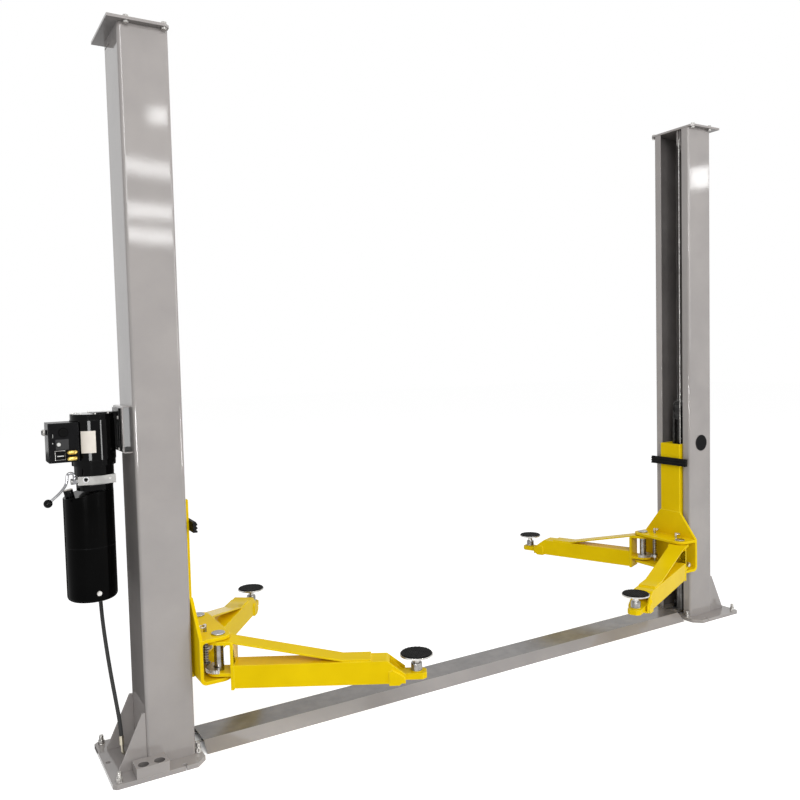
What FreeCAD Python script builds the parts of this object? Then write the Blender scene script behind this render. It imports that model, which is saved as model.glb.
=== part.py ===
import FreeCAD, Part
import math
import os
import re
import Sketcher

# Two post floor plate car lift. Millimetres, +Z up. The origin is on the floor, midway
# between the two columns. X runs from the pump side column to the other one and Y runs
# from the front of the bay to the back. The second column is the first one turned half a
# turn about Z, so the pieces of a side are drawn on the pump side and turned.

# Sizes, each one written once
SIZES = [
    # Whole lift
    ("bay_clear", 2892, "inner face to inner face of the columns"),
    ("column_top", 2812, "underside of the top plates"),
    ("running_gap", 5, "gap kept between pieces that pass each other"),
    ("seat_gap", 0.3, "gap between a round piece and the hole that seats it"),
    # Columns
    ("column_depth", 186.5, "along the bay"),
    ("column_width", 244, "across the bay"),
    ("column_wall", 6, "sheet of the column"),
    ("column_lip", 47, "inward lips each side of the slot"),
    ("column_bend", 13, "outer radius of the column's bends"),
    ("column_slit_start", 23, "slit near the column's top from its middle"),
    ("column_slit_end", 106, "slit near the column's top from its middle"),
    ("column_slit", 4, "height of that slit"),
    ("column_slit_drop", 31, "lower edge of that slit below the top plate"),
    # Base plates and what stands on them
    ("foot_thick", 18, "base plate"),
    ("foot_inner", 26, "base plate reach into the bay past the column"),
    ("foot_outer", 142.5, "base plate reach outside the column"),
    ("foot_width", 400, "base plate across the bay"),
    ("foot_inner_chamfer", 40, "corners towards the bay"),
    ("foot_outer_chamfer", 14, "corners away from the bay"),
    ("anchor_hole_radius", 9.5, "holes for the floor anchors"),
    ("anchor_hole_inset", 17, "edge holes from the plate's long edges"),
    ("anchor_hole_from_face", 61, "edge holes outwards from the column's inner face"),
    ("outer_hole_inset", 19, "middle hole from the plate's outer edge"),
    ("anchor_slit", 4, "slit from an edge hole to the plate's edge"),
    ("anchor_radius", 8, "anchor bolt"),
    ("anchor_stand", 36, "anchor bolt above the plate"),
    ("anchor_corner_inset", 26, "corner anchors from the plate's edges"),
    ("anchor_inner_inset", 13.2, "inner anchors from the plate's inner edge"),
    ("anchor_inner_spread", 112, "inner anchors each side of the middle"),
    ("washer_radius", 12.8, "anchor washers"),
    ("washer_thick", 3, "anchor washers"),
    ("nut_height", 14, "anchor nuts"),
    ("nut_flats", 22, "anchor nuts across the flats"),
    ("gusset_reach", 107, "gussets out from the column"),
    ("gusset_height", 207, "gussets above the plate"),
    ("gusset_top", 13, "flat top of a gusset"),
    ("gusset_toe", 8, "upright outer edge of a gusset"),
    ("gusset_thick", 9, "gusset plate"),
    ("gusset_set_back", 9, "gussets in from the column's faces"),
    ("rack_length", 122, "adapter rack along the bay"),
    ("rack_width", 78, "adapter rack out from the column's side"),
    ("rack_height", 40, "adapter rack above the plate"),
    ("rack_from_outer", 58.5, "rack's outer end past the column's outer face"),
    ("rack_hole_radius", 20, "holes of the adapter rack"),
    ("rack_hole_depth", 34, "holes of the adapter rack"),
    ("rack_hole_pitch", 60, "between the two holes"),
    ("rack_hole_inset", 27, "holes from the rack's outer face"),
    # Top plates
    ("head_thick", 12, "top plate"),
    ("head_outer", 42, "top plate past the column's outer face"),
    ("head_side", 30, "top plate past the column's sides"),
    ("head_chamfer", 16, "corners of the top plate towards the bay"),
    ("cap_thick", 6, "cover strip on the top plate"),
    ("cap_inset", 25, "cover strip in from the top plate's edges"),
    ("head_bolt_radius", 6, "bolts of the top plate"),
    ("head_bolt_inset", 13, "top plate bolts from its long edges"),
    ("head_bolt_inner", 20, "inner top bolts from the bay edge"),
    ("head_bolt_pitch", 138, "between the two top bolts of an edge"),
    ("head_bolt_head", 8, "height of a bolt's head and of its nut"),
    ("head_bolt_flats", 19, "across the flats"),
    # Floor cover
    ("cover_end_gap", 20, "floor cover's ends to the base plates"),
    ("cover_width", 240, "floor cover at the floor"),
    ("cover_flat", 144, "flat top of the floor cover"),
    ("cover_height", 40, "floor cover"),
    ("cover_sheet", 3, "sheet of the floor cover"),
    # Lift cylinders
    ("ram_from_face", 70, "cylinder's axis behind the column's inner face"),
    ("barrel_radius", 28, "cylinder barrel"),
    ("barrel_top", 1000, "top of the cylinder barrel"),
    ("barrel_bottom", 30, "floor of the barrel's bore"),
    ("gland_radius", 29.5, "gland at the barrel's top"),
    ("gland_height", 40, "gland at the barrel's top"),
    ("cylinder_foot", 66, "square foot of the cylinder"),
    ("cylinder_foot_thick", 10, "square foot of the cylinder"),
    ("rod_radius", 20, "piston rod"),
    ("rod_bottom", 160, "lower end of the piston rod"),
    ("rod_clearance", 0.5, "rod to barrel bore, radial"),
    # Chain sheaves
    ("sheave_axis_z", 1223, "sheave axis above the floor"),
    ("groove_radius", 34.5, "bottom of the sheave's groove"),
    ("sheave_radius", 42, "sheave flanges"),
    ("sheave_width", 28, "sheave along its axis"),
    ("chain_width", 22, "leaf chain along the sheave's axis"),
    ("chain_height", 15, "leaf chain plates"),
    ("chain_seat", 0.4, "chain to groove"),
    ("chain_pitch", 19.05, "pin to pin"),
    ("chain_low", 390, "lower ends of the chain above the floor"),
    ("yoke_wall", 6, "side plates of the yoke"),
    ("yoke_gap", 1, "sheave to yoke, each side"),
    ("yoke_width", 44, "yoke plates across"),
    ("yoke_foot", 16, "foot of the yoke"),
    ("yoke_drop", 66, "yoke's foot below the sheave's axis"),
    ("yoke_over_axle", 5, "yoke plates above the sheave's axle"),
    ("axle_radius", 9, "sheave axle"),
    # Equalizer cables
    ("cable_radius", 4.5, "cables"),
    ("cable_side", 42, "cables each side of the middle"),
    ("cable_from_face", 18, "cable behind the column's inner face"),
    ("cable_floor", 25, "cables above the floor under the cover"),
    ("cable_low_end", 350, "lower ends of the cables in the carriages"),
    ("cable_high_end", 960, "upper ends of the risers in the carriages"),
    ("top_wheel_radius", 43.5, "groove of the top pulley"),
    ("top_wheel_drop", 71, "top pulley axis below the top plate"),
    ("floor_wheel_radius", 20.5, "groove of the floor pulley"),
    ("wheel_width", 14, "pulleys along their axis"),
    ("wheel_flange", 5, "pulley rim above its groove"),
    ("wheel_axle_radius", 7, "pulley axles"),
    ("cheek_thick", 5, "cheek plates of the top pulleys"),
    ("cheek_drop", 122, "cheek plates below the top plate"),
    ("cheek_gap", 1, "pulleys to their cheek plates"),
    ("cheek_overhang", 12, "cheek plates past the pulley"),
    ("cheek_trim", 10, "cheek plates shorter on the bay side"),
    ("cheek_bay_slope", 44, "sloped lower edge on the bay side"),
    ("cheek_back_slope", 50, "sloped lower edge on the outer side"),
    ("cheek_tip_bay", 8, "lower tip from the pulley's axis to the bay side"),
    ("cheek_tip_back", 20, "lower tip from the pulley's axis to the outer side"),
    ("floor_cheek_length", 40, "floor pulley bracket along the bay"),
    ("floor_bracket_top", 66, "floor pulley bracket above the floor"),
    # Carriages
    ("tube_proud", 22, "carriage tube in front of the column's face"),
    ("tube_width", 135, "carriage tube across the bay"),
    ("tube_wall", 8, "carriage tube"),
    ("tube_depth", 121, "carriage tube along the bay"),
    ("tube_top", 1020, "carriage tube above the floor"),
    ("web_gap", 12, "arm bracket's web in front of the column's face"),
    ("bracket_plate", 14, "plate of the arm bracket"),
    ("bracket_low", 304, "arm bracket's underside"),
    ("bracket_height", 180, "arm bracket"),
    ("bracket_width", 364, "arm bracket across the bay"),
    ("bracket_reach", 136, "shelves of the arm bracket into the bay"),
    ("bracket_bend", 26, "outer radius of the bracket's bends"),
    ("shoulder_top", 625, "top of the sloped plate above the bracket"),
    ("shoulder_flat", 140, "width of that plate at its top"),
    ("pin_inset", 46, "arm pins from the shelf's edges"),
    ("pin_radius", 19, "arm pins"),
    ("pin_head_radius", 27, "heads of the arm pins"),
    ("pin_head", 6, "heads of the arm pins"),
    ("pin_play", 0.3, "arm pin to its bores, radial"),
    ("pin_below", 5, "arm pins below the lower shelf"),
    ("slider_length", 40, "slider blocks along the bay"),
    ("slider_height", 80, "slider blocks"),
    ("slider_low", 330, "lower slider blocks"),
    ("slider_high", 900, "upper slider blocks"),
    ("slider_gap", 0.4, "slider blocks to the column they run in"),
    ("bumper_low", 896, "door bumper above the floor"),
    ("bumper_height", 42, "door bumper"),
    ("bumper_width", 250, "door bumper across the bay"),
    ("bumper_thick", 17, "door bumper"),
    ("bumper_groove", 5, "grooves of the door bumper"),
    # Arm restraints
    ("lock_from_pin", 68, "restraint rod from the arm pin"),
    ("lock_offset", 36, "restraint rod nearer the column than the arm pin"),
    ("lock_rod_radius", 7, "restraint rod"),
    ("lock_low", 286, "lower end of the restraint rod"),
    ("lock_high", 512, "upper end of the restraint rod"),
    ("lock_play", 1, "restraint rod to its holes, radial"),
    ("lock_block_height", 15, "toothed block of the restraint"),
    ("lock_span", 40, "angle of the toothed block"),
    ("lock_block_thick", 26, "toothed block along the radius"),
    ("ring_radius", 14, "pull ring"),
    ("ring_wire", 2.5, "pull ring wire"),
    ("ring_drop", 8, "pull ring below the rod's head"),
    ("gear_radius", 56, "tips of the arm's gear"),
    ("gear_tooth", 6, "height of the gear's teeth"),
    ("gear_bore", 24, "bore of the arm's gear"),
    ("gear_thick", 14, "arm's gear"),
    ("gear_tooth_angle", 12, "tooth pitch"),
    ("gear_teeth", 17, "teeth of the sector"),
    ("gear_air", 1.2, "restraint teeth to gear teeth"),
    # Arms
    ("ear_thick", 14, "ears of the arm"),
    ("ear_top_gap", 4, "upper ear below the upper shelf"),
    ("ear_low_gap", 8, "lower ear above the lower shelf"),
    ("arm_plate_out", 66, "outer face of the arm's end plate from the pin"),
    ("arm_plate", 13, "arm's end plate"),
    ("arm_plate_width", 100, "arm's end plate"),
    ("arm_plate_low", 272, "underside of the end plate"),
    ("arm_bend", 20, "outer radius of the bend to the upper ear"),
    ("arm_low", 278, "underside of the arm's box"),
    ("arm_height", 92, "arm's box"),
    ("arm_width", 95, "arm's box"),
    ("arm_wall", 8, "wall of the arm's box"),
    ("front_arm_top_end", 668, "front arms' upper edge from the pin"),
    ("back_arm_top_end", 628, "back arms' upper edge from the pin"),
    ("arm_mouth_run", 72, "mouth's slope along the arm"),
    ("arm_mouth_drop", 55, "mouth's slope downwards"),
    ("strap_width", 86, "brace strap on the arm"),
    ("strap_thick", 8, "brace strap on the arm"),
    ("strap_flat_back", 64, "strap's end before the arm's upper edge"),
    ("strap_flat", 112, "flat stretch of the strap"),
    ("collar_start", 6, "mouth collar past the arm's upper edge"),
    ("collar_length", 62, "mouth collar along the arm"),
    ("collar_thick", 6, "mouth collar"),
    ("collar_height", 62, "mouth collar"),
    ("collar_nose", 22, "slope of the collar's lower outer corner"),
    ("collar_toe", 18, "height of that slope"),
    ("collar_lip", 34, "outer end of the collar"),
    ("collar_lean", 14, "collar's top inwards of its foot"),
    ("collar_back_drop", 6, "inner edge of the collar below its top"),
    # Arm extensions and pads
    ("slide_gap", 0.5, "extension to the arm's box, all round"),
    ("slide_wall", 6, "wall of the extension"),
    ("slide_in_back", 640, "extension's inner end behind its pad"),
    ("slide_tube_back", 62, "extension tube's end behind its pad"),
    ("slide_slope", 52, "slope of the extension tube's end"),
    ("nose_thick", 25, "nose bar"),
    ("nose_ahead", 40, "nose bar past the pad"),
    ("nose_width", 65, "nose bar"),
    ("nose_root", 170, "nose bar behind the pad"),
    ("nose_chamfer", 16, "corners of the nose bar"),
    ("sleeve_radius", 19, "screw sleeve on the nose"),
    ("sleeve_height", 34, "screw sleeve on the nose"),
    ("screw_radius", 14, "pad screw"),
    ("screw_play", 0.3, "pad screw to its sleeve, radial"),
    ("screw_above", 2, "screw's lower end above the nose's underside"),
    ("pad_top", 388, "top of the pads"),
    ("pad_radius", 66, "steel dish of a pad"),
    ("pad_dish", 7, "steel dish of a pad"),
    ("pad_rim", 3, "rim of the dish round the rubber"),
    ("pad_rubber", 9, "rubber of a pad"),
    ("pad_boss_radius", 20, "boss under the dish"),
    ("pad_boss", 6, "boss under the dish"),
    ("pad_boss_flare", 4, "boss wider at the dish"),
    ("front_reach", 785, "front pads from their arm pins"),
    ("back_reach", 748, "back pads from their arm pins"),
    ("front_left_turn", -29.75, "front arm on the pump side, from +X"),
    ("back_left_turn", 53, "back arm on the pump side, from +X"),
    ("front_right_turn", 25, "front arm on the far side, from -X"),
    ("back_right_turn", -67, "back arm on the far side, from -X"),
    # Plugs and power unit
    ("plug_from_face", 98, "plug behind the column's inner face"),
    ("plug_height", 1025, "plug above the floor"),
    ("plug_radius", 41, "plug's hole in the column"),
    ("plug_head_radius", 46, "plug's head"),
    ("plug_head", 4, "plug's head"),
    ("pump_bracket_low", 1224, "pump bracket"),
    ("pump_bracket_height", 179, "pump bracket"),
    ("pump_bracket_width", 164, "pump bracket across"),
    ("pump_bracket_depth", 33, "pump bracket out from the column"),
    ("pump_bracket_sheet", 5, "pump bracket"),
    ("pump_bracket_bend", 8, "outer radius of the pump bracket's bends"),
    ("motor_from_face", 126, "motor's axis out from the column"),
    ("motor_radius", 81, "motor"),
    ("motor_low", 1184, "motor's lower end"),
    ("motor_top", 1379, "motor's upper end"),
    ("motor_cap", 22, "motor's end caps"),
    ("motor_cap_step", 2, "end caps inside the motor's shell"),
    ("motor_foot_width", 120, "foot plate behind the motor"),
    ("motor_foot_thick", 8, "foot plate behind the motor"),
    ("motor_foot_inset", 8, "foot plate inside the bracket's height"),
    ("motor_web_width", 70, "web between the foot plate and the shell"),
    ("motor_web_inset", 20, "web inside the bracket's height"),
    ("pump_flange_radius", 71, "flange under the motor"),
    ("pump_flange_low", 1147, "flange under the motor"),
    ("block_length", 136, "pump block along X"),
    ("block_width", 104, "pump block along Y"),
    ("block_low", 1114, "pump block"),
    ("neck_radius", 66, "neck between block and tank"),
    ("neck_low", 1090, "neck between block and tank"),
    ("tank_out", 25, "tank's axis outside the motor's axis"),
    ("tank_radius", 91, "oil tank"),
    ("tank_low", 674, "oil tank"),
    ("tank_shoulder", 26, "tank's shoulder below its top"),
    ("tank_slope_end", 20, "end of the sloped top past the tank's axis"),
    ("tank_edge", 18, "rounding of the tank's lower edge"),
    ("box_length", 106, "switch box along X"),
    ("box_width", 100, "switch box along Y"),
    ("box_low", 1206, "switch box"),
    ("box_height", 146, "switch box"),
    ("box_out", 164, "switch box's outer side from the motor's axis"),
    ("box_forward", 12, "switch box's middle in front of the motor's axis"),
    ("box_gland_radius", 9, "cable gland of the switch box"),
    ("box_gland_length", 16, "cable gland of the switch box"),
    ("box_gland_height", 111, "cable gland above the box's underside"),
    ("filler_from_axis", 66, "filler cap outwards from the tank's axis"),
    ("filler_back", 4, "filler cap behind the tank's axis"),
    ("filler_radius", 17, "filler cap"),
    ("filler_height", 26, "filler cap"),
    ("hose_radius", 7.5, "hydraulic hose"),
    ("elbow_thinner", 2, "bent tube thinner than the hose, radial"),
    ("ferrule_radius", 9, "hose ferrules"),
    ("ferrule_length", 34, "hose ferrules"),
    ("lever_wire", 5, "release lever"),
    ("lever_ball", 15.5, "ball of the release lever"),
    ("lever_forward", 58, "release lever in front of the motor's axis"),
    ("lever_hub_radius", 8, "hub of the release lever"),
    ("lever_hub_width", 10, "hub of the release lever"),
    ("lever_hub_out", 12, "hub's axis out from the block"),
    ("lever_rise", 34, "handle's upper bends above its hub"),
    ("lever_crown", 24, "handle's crown outwards"),
    ("lever_rise_lean", 2, "handle's rise leaning outwards"),
    ("lever_fall_lean", 4, "handle's outer leg leaning outwards"),
    ("lever_knee_drop", 6, "handle's knee below the hub"),
    ("lever_mid_out", 64, "handle's lower bend out from the block"),
    ("lever_mid_drop", 36, "handle's lower bend below the hub"),
    ("lever_end_out", 106, "ball out from the block"),
    ("lever_end_drop", 70, "ball below the hub"),
    ("valve_radius", 11, "release valve"),
    ("valve_length", 23, "release valve out from the block"),
]
SIZE = {name: value for name, value, note in SIZES}

DOC = FreeCAD.newDocument("TwoPostCarLift")
SHEET = DOC.addObject("Spreadsheet::Sheet", "Sizes")
for row, (name, value, note) in enumerate(SIZES, 1):
    SHEET.set(f"A{row}", name)
    SHEET.set(f"B{row}", str(value))
    SHEET.set(f"C{row}", note)
    SHEET.setAlias(f"B{row}", name)
DOC.recompute()

# Places that several pieces share, on the pump side
FACE = "(-bay_clear / 2)"
BACK = f"({FACE} - column_depth)"
FOOT_IN = f"({FACE} + foot_inner)"
FOOT_OUT = f"({BACK} - foot_outer)"
RAM_X = f"({FACE} - ram_from_face)"
WEB_X = f"({FACE} + web_gap)"
TUBE_X = f"({FACE} + tube_proud)"
SHELF_X = f"({WEB_X} + bracket_reach)"
PIN_X = f"({SHELF_X} - pin_inset)"
PIN_Y = "(bracket_width / 2 - pin_inset)"
BRACKET_TOP = "(bracket_low + bracket_height)"
LOCK_X = f"({PIN_X} - lock_offset)"
LOCK_Y = f"({PIN_Y} - sqrt(lock_from_pin ^ 2 - lock_offset ^ 2))"
EAR_TOP = f"({BRACKET_TOP} - bracket_plate - ear_top_gap)"
EAR_LOW = "(bracket_low + bracket_plate + ear_low_gap)"
ARM_TOP = "(arm_low + arm_height)"
NOSE_LOW = "(arm_low + arm_wall + slide_gap)"
MOTOR_X = f"({BACK} - motor_from_face)"
TANK_X = f"({MOTOR_X} - tank_out)"
SHOULDER = "(neck_low - tank_shoulder)"
HEAD_TOP = "(column_top + head_thick)"
WHEEL_Z = "(column_top - top_wheel_drop)"

WORDS = re.compile(r"\b[a-z][a-z_]*\b")
UP = FreeCAD.Vector(0, 0, 1)
HALF_TURN = FreeCAD.Placement(FreeCAD.Vector(), FreeCAD.Rotation(UP, 180))
ALONG = {
    "X": FreeCAD.Rotation(FreeCAD.Vector(0, 1, 0), 90),
    "Y": FreeCAD.Rotation(FreeCAD.Vector(1, 0, 0), -90),
    "Z": FreeCAD.Rotation(),
}


# Objects tied to the sheet
def formula(text):
    """Turn every size named in text into a reference to its cell."""
    return WORDS.sub(lambda found: "Sizes." + found.group() if found.group() in SIZE
                     else found.group(), str(text))


def bind(thing, **formulas):
    """Tie properties of a thing to formulas of the named sizes."""
    for name, text in formulas.items():
        thing.setExpression(name.replace("__", "."), formula(text))
    return thing


def stand(thing, x, y, z):
    """Place a thing at formulas of the named sizes."""
    return bind(thing, Placement__Base__x=x, Placement__Base__y=y, Placement__Base__z=z)


def box(length, width, height, x, y, z):
    """A block from its lowest corner."""
    block = bind(DOC.addObject("Part::Box", "Block"), Length=length, Width=width, Height=height)
    return stand(block, x, y, z)


def rod(radius, height, x, y, z, along="Z"):
    """A cylinder from the centre of its first end."""
    round_bar = bind(DOC.addObject("Part::Cylinder", "Rod"), Radius=radius, Height=height)
    round_bar.Placement.Rotation = ALONG[along]
    return stand(round_bar, x, y, z)


def taper(low_radius, high_radius, height, x, y, z):
    """A cone from the centre of its lower end."""
    cone = bind(DOC.addObject("Part::Cone", "Taper"), Radius1=low_radius,
                Radius2=high_radius, Height=height)
    return stand(cone, x, y, z)


def nut(flats, height, x, y, z):
    """A six sided prism, its flats facing X."""
    prism = DOC.addObject("Part::Prism", "Nut")
    prism.Polygon = 6
    prism.Placement.Rotation = FreeCAD.Rotation(UP, 30)
    return stand(bind(prism, Circumradius=f"{flats} / sqrt(3)", Height=height), x, y, z)


def join(pieces):
    """Weld pieces into one."""
    weld = DOC.addObject("Part::MultiFuse", "Weld")
    weld.Shapes = pieces
    weld.Refine = True
    return weld


def carve(base, tools):
    """Take tools away from a base."""
    for tool in tools:
        cut = DOC.addObject("Part::Cut", "Carved")
        cut.Base = base
        cut.Tool = tool
        base = cut
    return base


def group(pieces):
    """Hold pieces that don't touch as one object."""
    held = DOC.addObject("Part::Compound", "Group")
    held.Links = pieces
    return held


def on_both_sides(make):
    """Make a set of pieces for the pump side and, turned, for the far side."""
    far = group(make("right"))
    far.Placement = HALF_TURN
    return group([group(make("left")), far])


# Sketched bodies
def outline(body, plane, corners, lift=0):
    """Sketch a closed outline of straight edges, every corner tied to the sheet."""
    sketch = body.newObject("Sketcher::SketchObject", "Outline")
    origin_plane = next(p for p in body.Origin.OriginFeatures if p.Role == plane)
    sketch.AttachmentSupport = [(origin_plane, "")]
    sketch.MapMode = "FlatFace"
    count = len(corners)
    ring = [FreeCAD.Vector(math.cos(2 * math.pi * i / count), math.sin(2 * math.pi * i / count), 0)
            for i in range(count)]
    for i in range(count):
        sketch.addGeometry(Part.LineSegment(ring[i], ring[(i + 1) % count]), False)
    for i in range(count):
        sketch.addConstraint(Sketcher.Constraint("Coincident", i, 2, (i + 1) % count, 1))
    for i, corner in enumerate(corners):
        for kind, text, start in zip(("DistanceX", "DistanceY"), corner, ring[i]):
            tie = sketch.addConstraint(Sketcher.Constraint(kind, -1, 1, i, 1, start))
            sketch.setExpression(f"Constraints[{tie}]", formula(text))
    return bind(sketch, AttachmentOffset__Base__z=lift)


def hole_marks(body, plane, holes, lift=0):
    """Sketch circles, each tied to the sheet by its centre and radius."""
    sketch = body.newObject("Sketcher::SketchObject", "Holes")
    origin_plane = next(p for p in body.Origin.OriginFeatures if p.Role == plane)
    sketch.AttachmentSupport = [(origin_plane, "")]
    sketch.MapMode = "FlatFace"
    for i, (x, y, radius) in enumerate(holes):
        start = FreeCAD.Vector(3 * i, 1, 0)
        sketch.addGeometry(Part.Circle(start, UP, 1), False)
        ties = (("DistanceX", (-1, 1, i, 3, start.x), x), ("DistanceY", (-1, 1, i, 3, start.y), y),
                ("Radius", (i, 1), radius))
        for kind, ends, text in ties:
            tie = sketch.addConstraint(Sketcher.Constraint(kind, *ends))
            sketch.setExpression(f"Constraints[{tie}]", formula(text))
    return bind(sketch, AttachmentOffset__Base__z=lift)


def pad(body, sketch, length, both_ways=False):
    """Thicken a sketch along its normal."""
    feature = body.newObject("PartDesign::Pad", "Pad")
    feature.Profile = sketch
    feature.Midplane = both_ways
    return bind(feature, Length=length)


def pocket(body, sketch, length=None, reverse=False):
    """Cut a sketch out of the body, right through where no length is given."""
    feature = body.newObject("PartDesign::Pocket", "Pocket")
    feature.Profile = sketch
    feature.Reversed = reverse
    if length is None:
        feature.Type = "ThroughAll"
        feature.Midplane = True
    else:
        bind(feature, Length=length)
    return feature


def edges_where(feature, test):
    """Name a feature's edges whose middle and direction pass a test."""
    names = []
    for number, edge in enumerate(feature.Shape.Edges, 1):
        middle = edge.valueAt((edge.FirstParameter + edge.LastParameter) / 2)
        direction = edge.tangentAt(edge.FirstParameter)
        if test(middle, direction, edge):
            names.append(f"Edge{number}")
    return names


def soften(body, kind, test, size):
    """Fillet or chamfer the edges of the body's tip that pass a test."""
    DOC.recompute()
    base = body.Tip
    feature = body.newObject("PartDesign::" + kind, kind)
    feature.Base = (base, edges_where(base, test))
    return bind(feature, **{"Radius" if kind == "Fillet" else "Size": size})


def new_body():
    """An empty body."""
    return DOC.addObject("PartDesign::Body", "Body")


def runs_along(letter, direction):
    """True where a direction runs along an axis."""
    return abs(getattr(direction, letter)) > 0.99


# Columns
def column(side):
    """The bent C of a column, its slot towards the bay."""
    body = new_body()
    half = "column_width / 2"
    slot = f"({half} - column_lip)"
    inside = f"({half} - column_wall)"
    front = f"({FACE} - column_wall)"
    back = f"({BACK} + column_wall)"
    corners = [(BACK, f"-{half}"), (FACE, f"-{half}"), (FACE, f"-{slot}"), (front, f"-{slot}"),
               (front, f"-{inside}"), (back, f"-{inside}"), (back, inside), (front, inside),
               (front, slot), (FACE, slot), (FACE, half), (BACK, half)]
    pad(body, outline(body, "XY_Plane", corners, "foot_thick"), "column_top - foot_thick")
    rim = SIZE["column_width"] / 2
    soften(body, "Fillet", lambda m, d, e: runs_along("z", d) and abs(abs(m.y) - rim) < 0.01,
           "column_bend")
    inner = rim - SIZE["column_wall"]
    soften(body, "Fillet", lambda m, d, e: runs_along("z", d) and abs(abs(m.y) - inner) < 0.01,
           "column_bend - column_wall")
    plug = hole_marks(body, "XZ_Plane", [(f"{FACE} - plug_from_face", "plug_height", "plug_radius")],
                      f"-{half} - 1")
    pocket(body, plug, "column_wall + 2", reverse=True)
    slit_low = "column_top - column_slit_drop"
    slit = [("column_slit_start", slit_low), ("column_slit_end", slit_low),
            ("column_slit_end", f"{slit_low} + column_slit"),
            ("column_slit_start", f"{slit_low} + column_slit")]
    pocket(body, outline(body, "YZ_Plane", slit, f"{BACK} - 1"), "column_wall + 2", reverse=True)
    if side == "right":
        body.Placement = HALF_TURN
    return body


def column_plugs():
    """Round plugs in the hole in the side of each column."""
    def make(side):
        seat = "column_width / 2"
        x = f"{FACE} - plug_from_face"
        skirt = rod("plug_radius - seat_gap", "column_wall + 2", x, f"{seat} - column_wall - 2",
                    "plug_height", "Y")
        return [join([skirt, rod("plug_head_radius", "plug_head", x, seat, "plug_height", "Y")])]
    return on_both_sides(make)


def base_plates():
    """Floor plates with chamfered corners, anchor holes and slits."""
    def make(side):
        body = new_body()
        half = "foot_width / 2"
        corners = [(FOOT_OUT, f"-{half}"), (FOOT_IN, f"-{half}"), (FOOT_IN, half), (FOOT_OUT, half)]
        pad(body, outline(body, "XY_Plane", corners), "foot_thick")
        middle = -(SIZE["bay_clear"] + SIZE["column_depth"]) / 2
        soften(body, "Chamfer", lambda m, d, e: runs_along("z", d) and m.x > middle,
               "foot_inner_chamfer")
        soften(body, "Chamfer", lambda m, d, e: runs_along("z", d) and m.x < middle
               and abs(m.y) > SIZE["foot_width"] / 2 - 1, "foot_outer_chamfer")
        edge_x = f"{FACE} - anchor_hole_from_face"
        edge_y = f"({half} - anchor_hole_inset)"
        holes = [(edge_x, f"-{edge_y}", "anchor_hole_radius"), (edge_x, edge_y, "anchor_hole_radius"),
                 (f"{FOOT_OUT} + outer_hole_inset", "0", "anchor_hole_radius")]
        holes += [(x, y, "anchor_radius + seat_gap") for x, y in anchor_places()]
        pocket(body, hole_marks(body, "XY_Plane", holes))
        for sign in ("-", ""):
            slit = [(f"{edge_x} - anchor_slit / 2", f"{sign}{edge_y}"),
                    (f"{edge_x} + anchor_slit / 2", f"{sign}{edge_y}"),
                    (f"{edge_x} + anchor_slit / 2", f"{sign}({half} + 1)"),
                    (f"{edge_x} - anchor_slit / 2", f"{sign}({half} + 1)")]
            pocket(body, outline(body, "XY_Plane", slit))
        return [body]
    return on_both_sides(make)


def anchor_places():
    """Where the floor anchors of the pump side stand."""
    outer_x = f"{FOOT_OUT} + anchor_corner_inset"
    outer_y = "(foot_width / 2 - anchor_corner_inset)"
    inner_x = f"{FOOT_IN} - anchor_inner_inset"
    return [(outer_x, f"-{outer_y}"), (outer_x, outer_y),
            (inner_x, "-anchor_inner_spread"), (inner_x, "anchor_inner_spread")]


def anchor_bolts():
    """Floor anchors, each with its washer and nut."""
    def make(side):
        bolts = []
        for x, y in anchor_places():
            washer = rod("washer_radius", "washer_thick", x, y, "foot_thick")
            bolts.append(join([rod("anchor_radius", "foot_thick + anchor_stand - 1", x, y, "1"),
                               washer, nut("nut_flats", "nut_height", x, y,
                                           "foot_thick + washer_thick")]))
        return bolts
    return on_both_sides(make)


def gussets():
    """Triangular plates between each column's outer side and its base plate."""
    def make(side):
        plates = []
        inset = "gusset_set_back"
        for low in (f"-column_width / 2 + {inset}", f"column_width / 2 - {inset} - gusset_thick"):
            body = new_body()
            corners = [(BACK, "foot_thick"), (BACK, "foot_thick + gusset_height"),
                       (f"{BACK} - gusset_top", "foot_thick + gusset_height"),
                       (f"{BACK} - gusset_reach", "foot_thick + gusset_toe"),
                       (f"{BACK} - gusset_reach", "foot_thick")]
            pad(body, outline(body, "XZ_Plane", corners, f"-({low}) - gusset_thick"), "gusset_thick")
            plates.append(body)
        return plates
    return on_both_sides(make)


def adapter_racks():
    """Blocks with two round pockets that hold the spare pad adapters."""
    def make(side):
        start_x = f"({BACK} - rack_from_outer)"
        front = "(column_width / 2 + rack_width)"
        block = box("rack_length", "rack_width", "rack_height", start_x, f"-{front}", "foot_thick")
        middle_x = f"({start_x} + rack_length / 2)"
        middle_y = f"(-{front} + rack_hole_inset)"
        bottom = "foot_thick + rack_height - rack_hole_depth"
        holes = [rod("rack_hole_radius", "rack_hole_depth + 1",
                     f"{middle_x} {sign} rack_hole_pitch / 2", middle_y, bottom) for sign in "-+"]
        return [carve(block, holes)]
    return on_both_sides(make)


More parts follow.
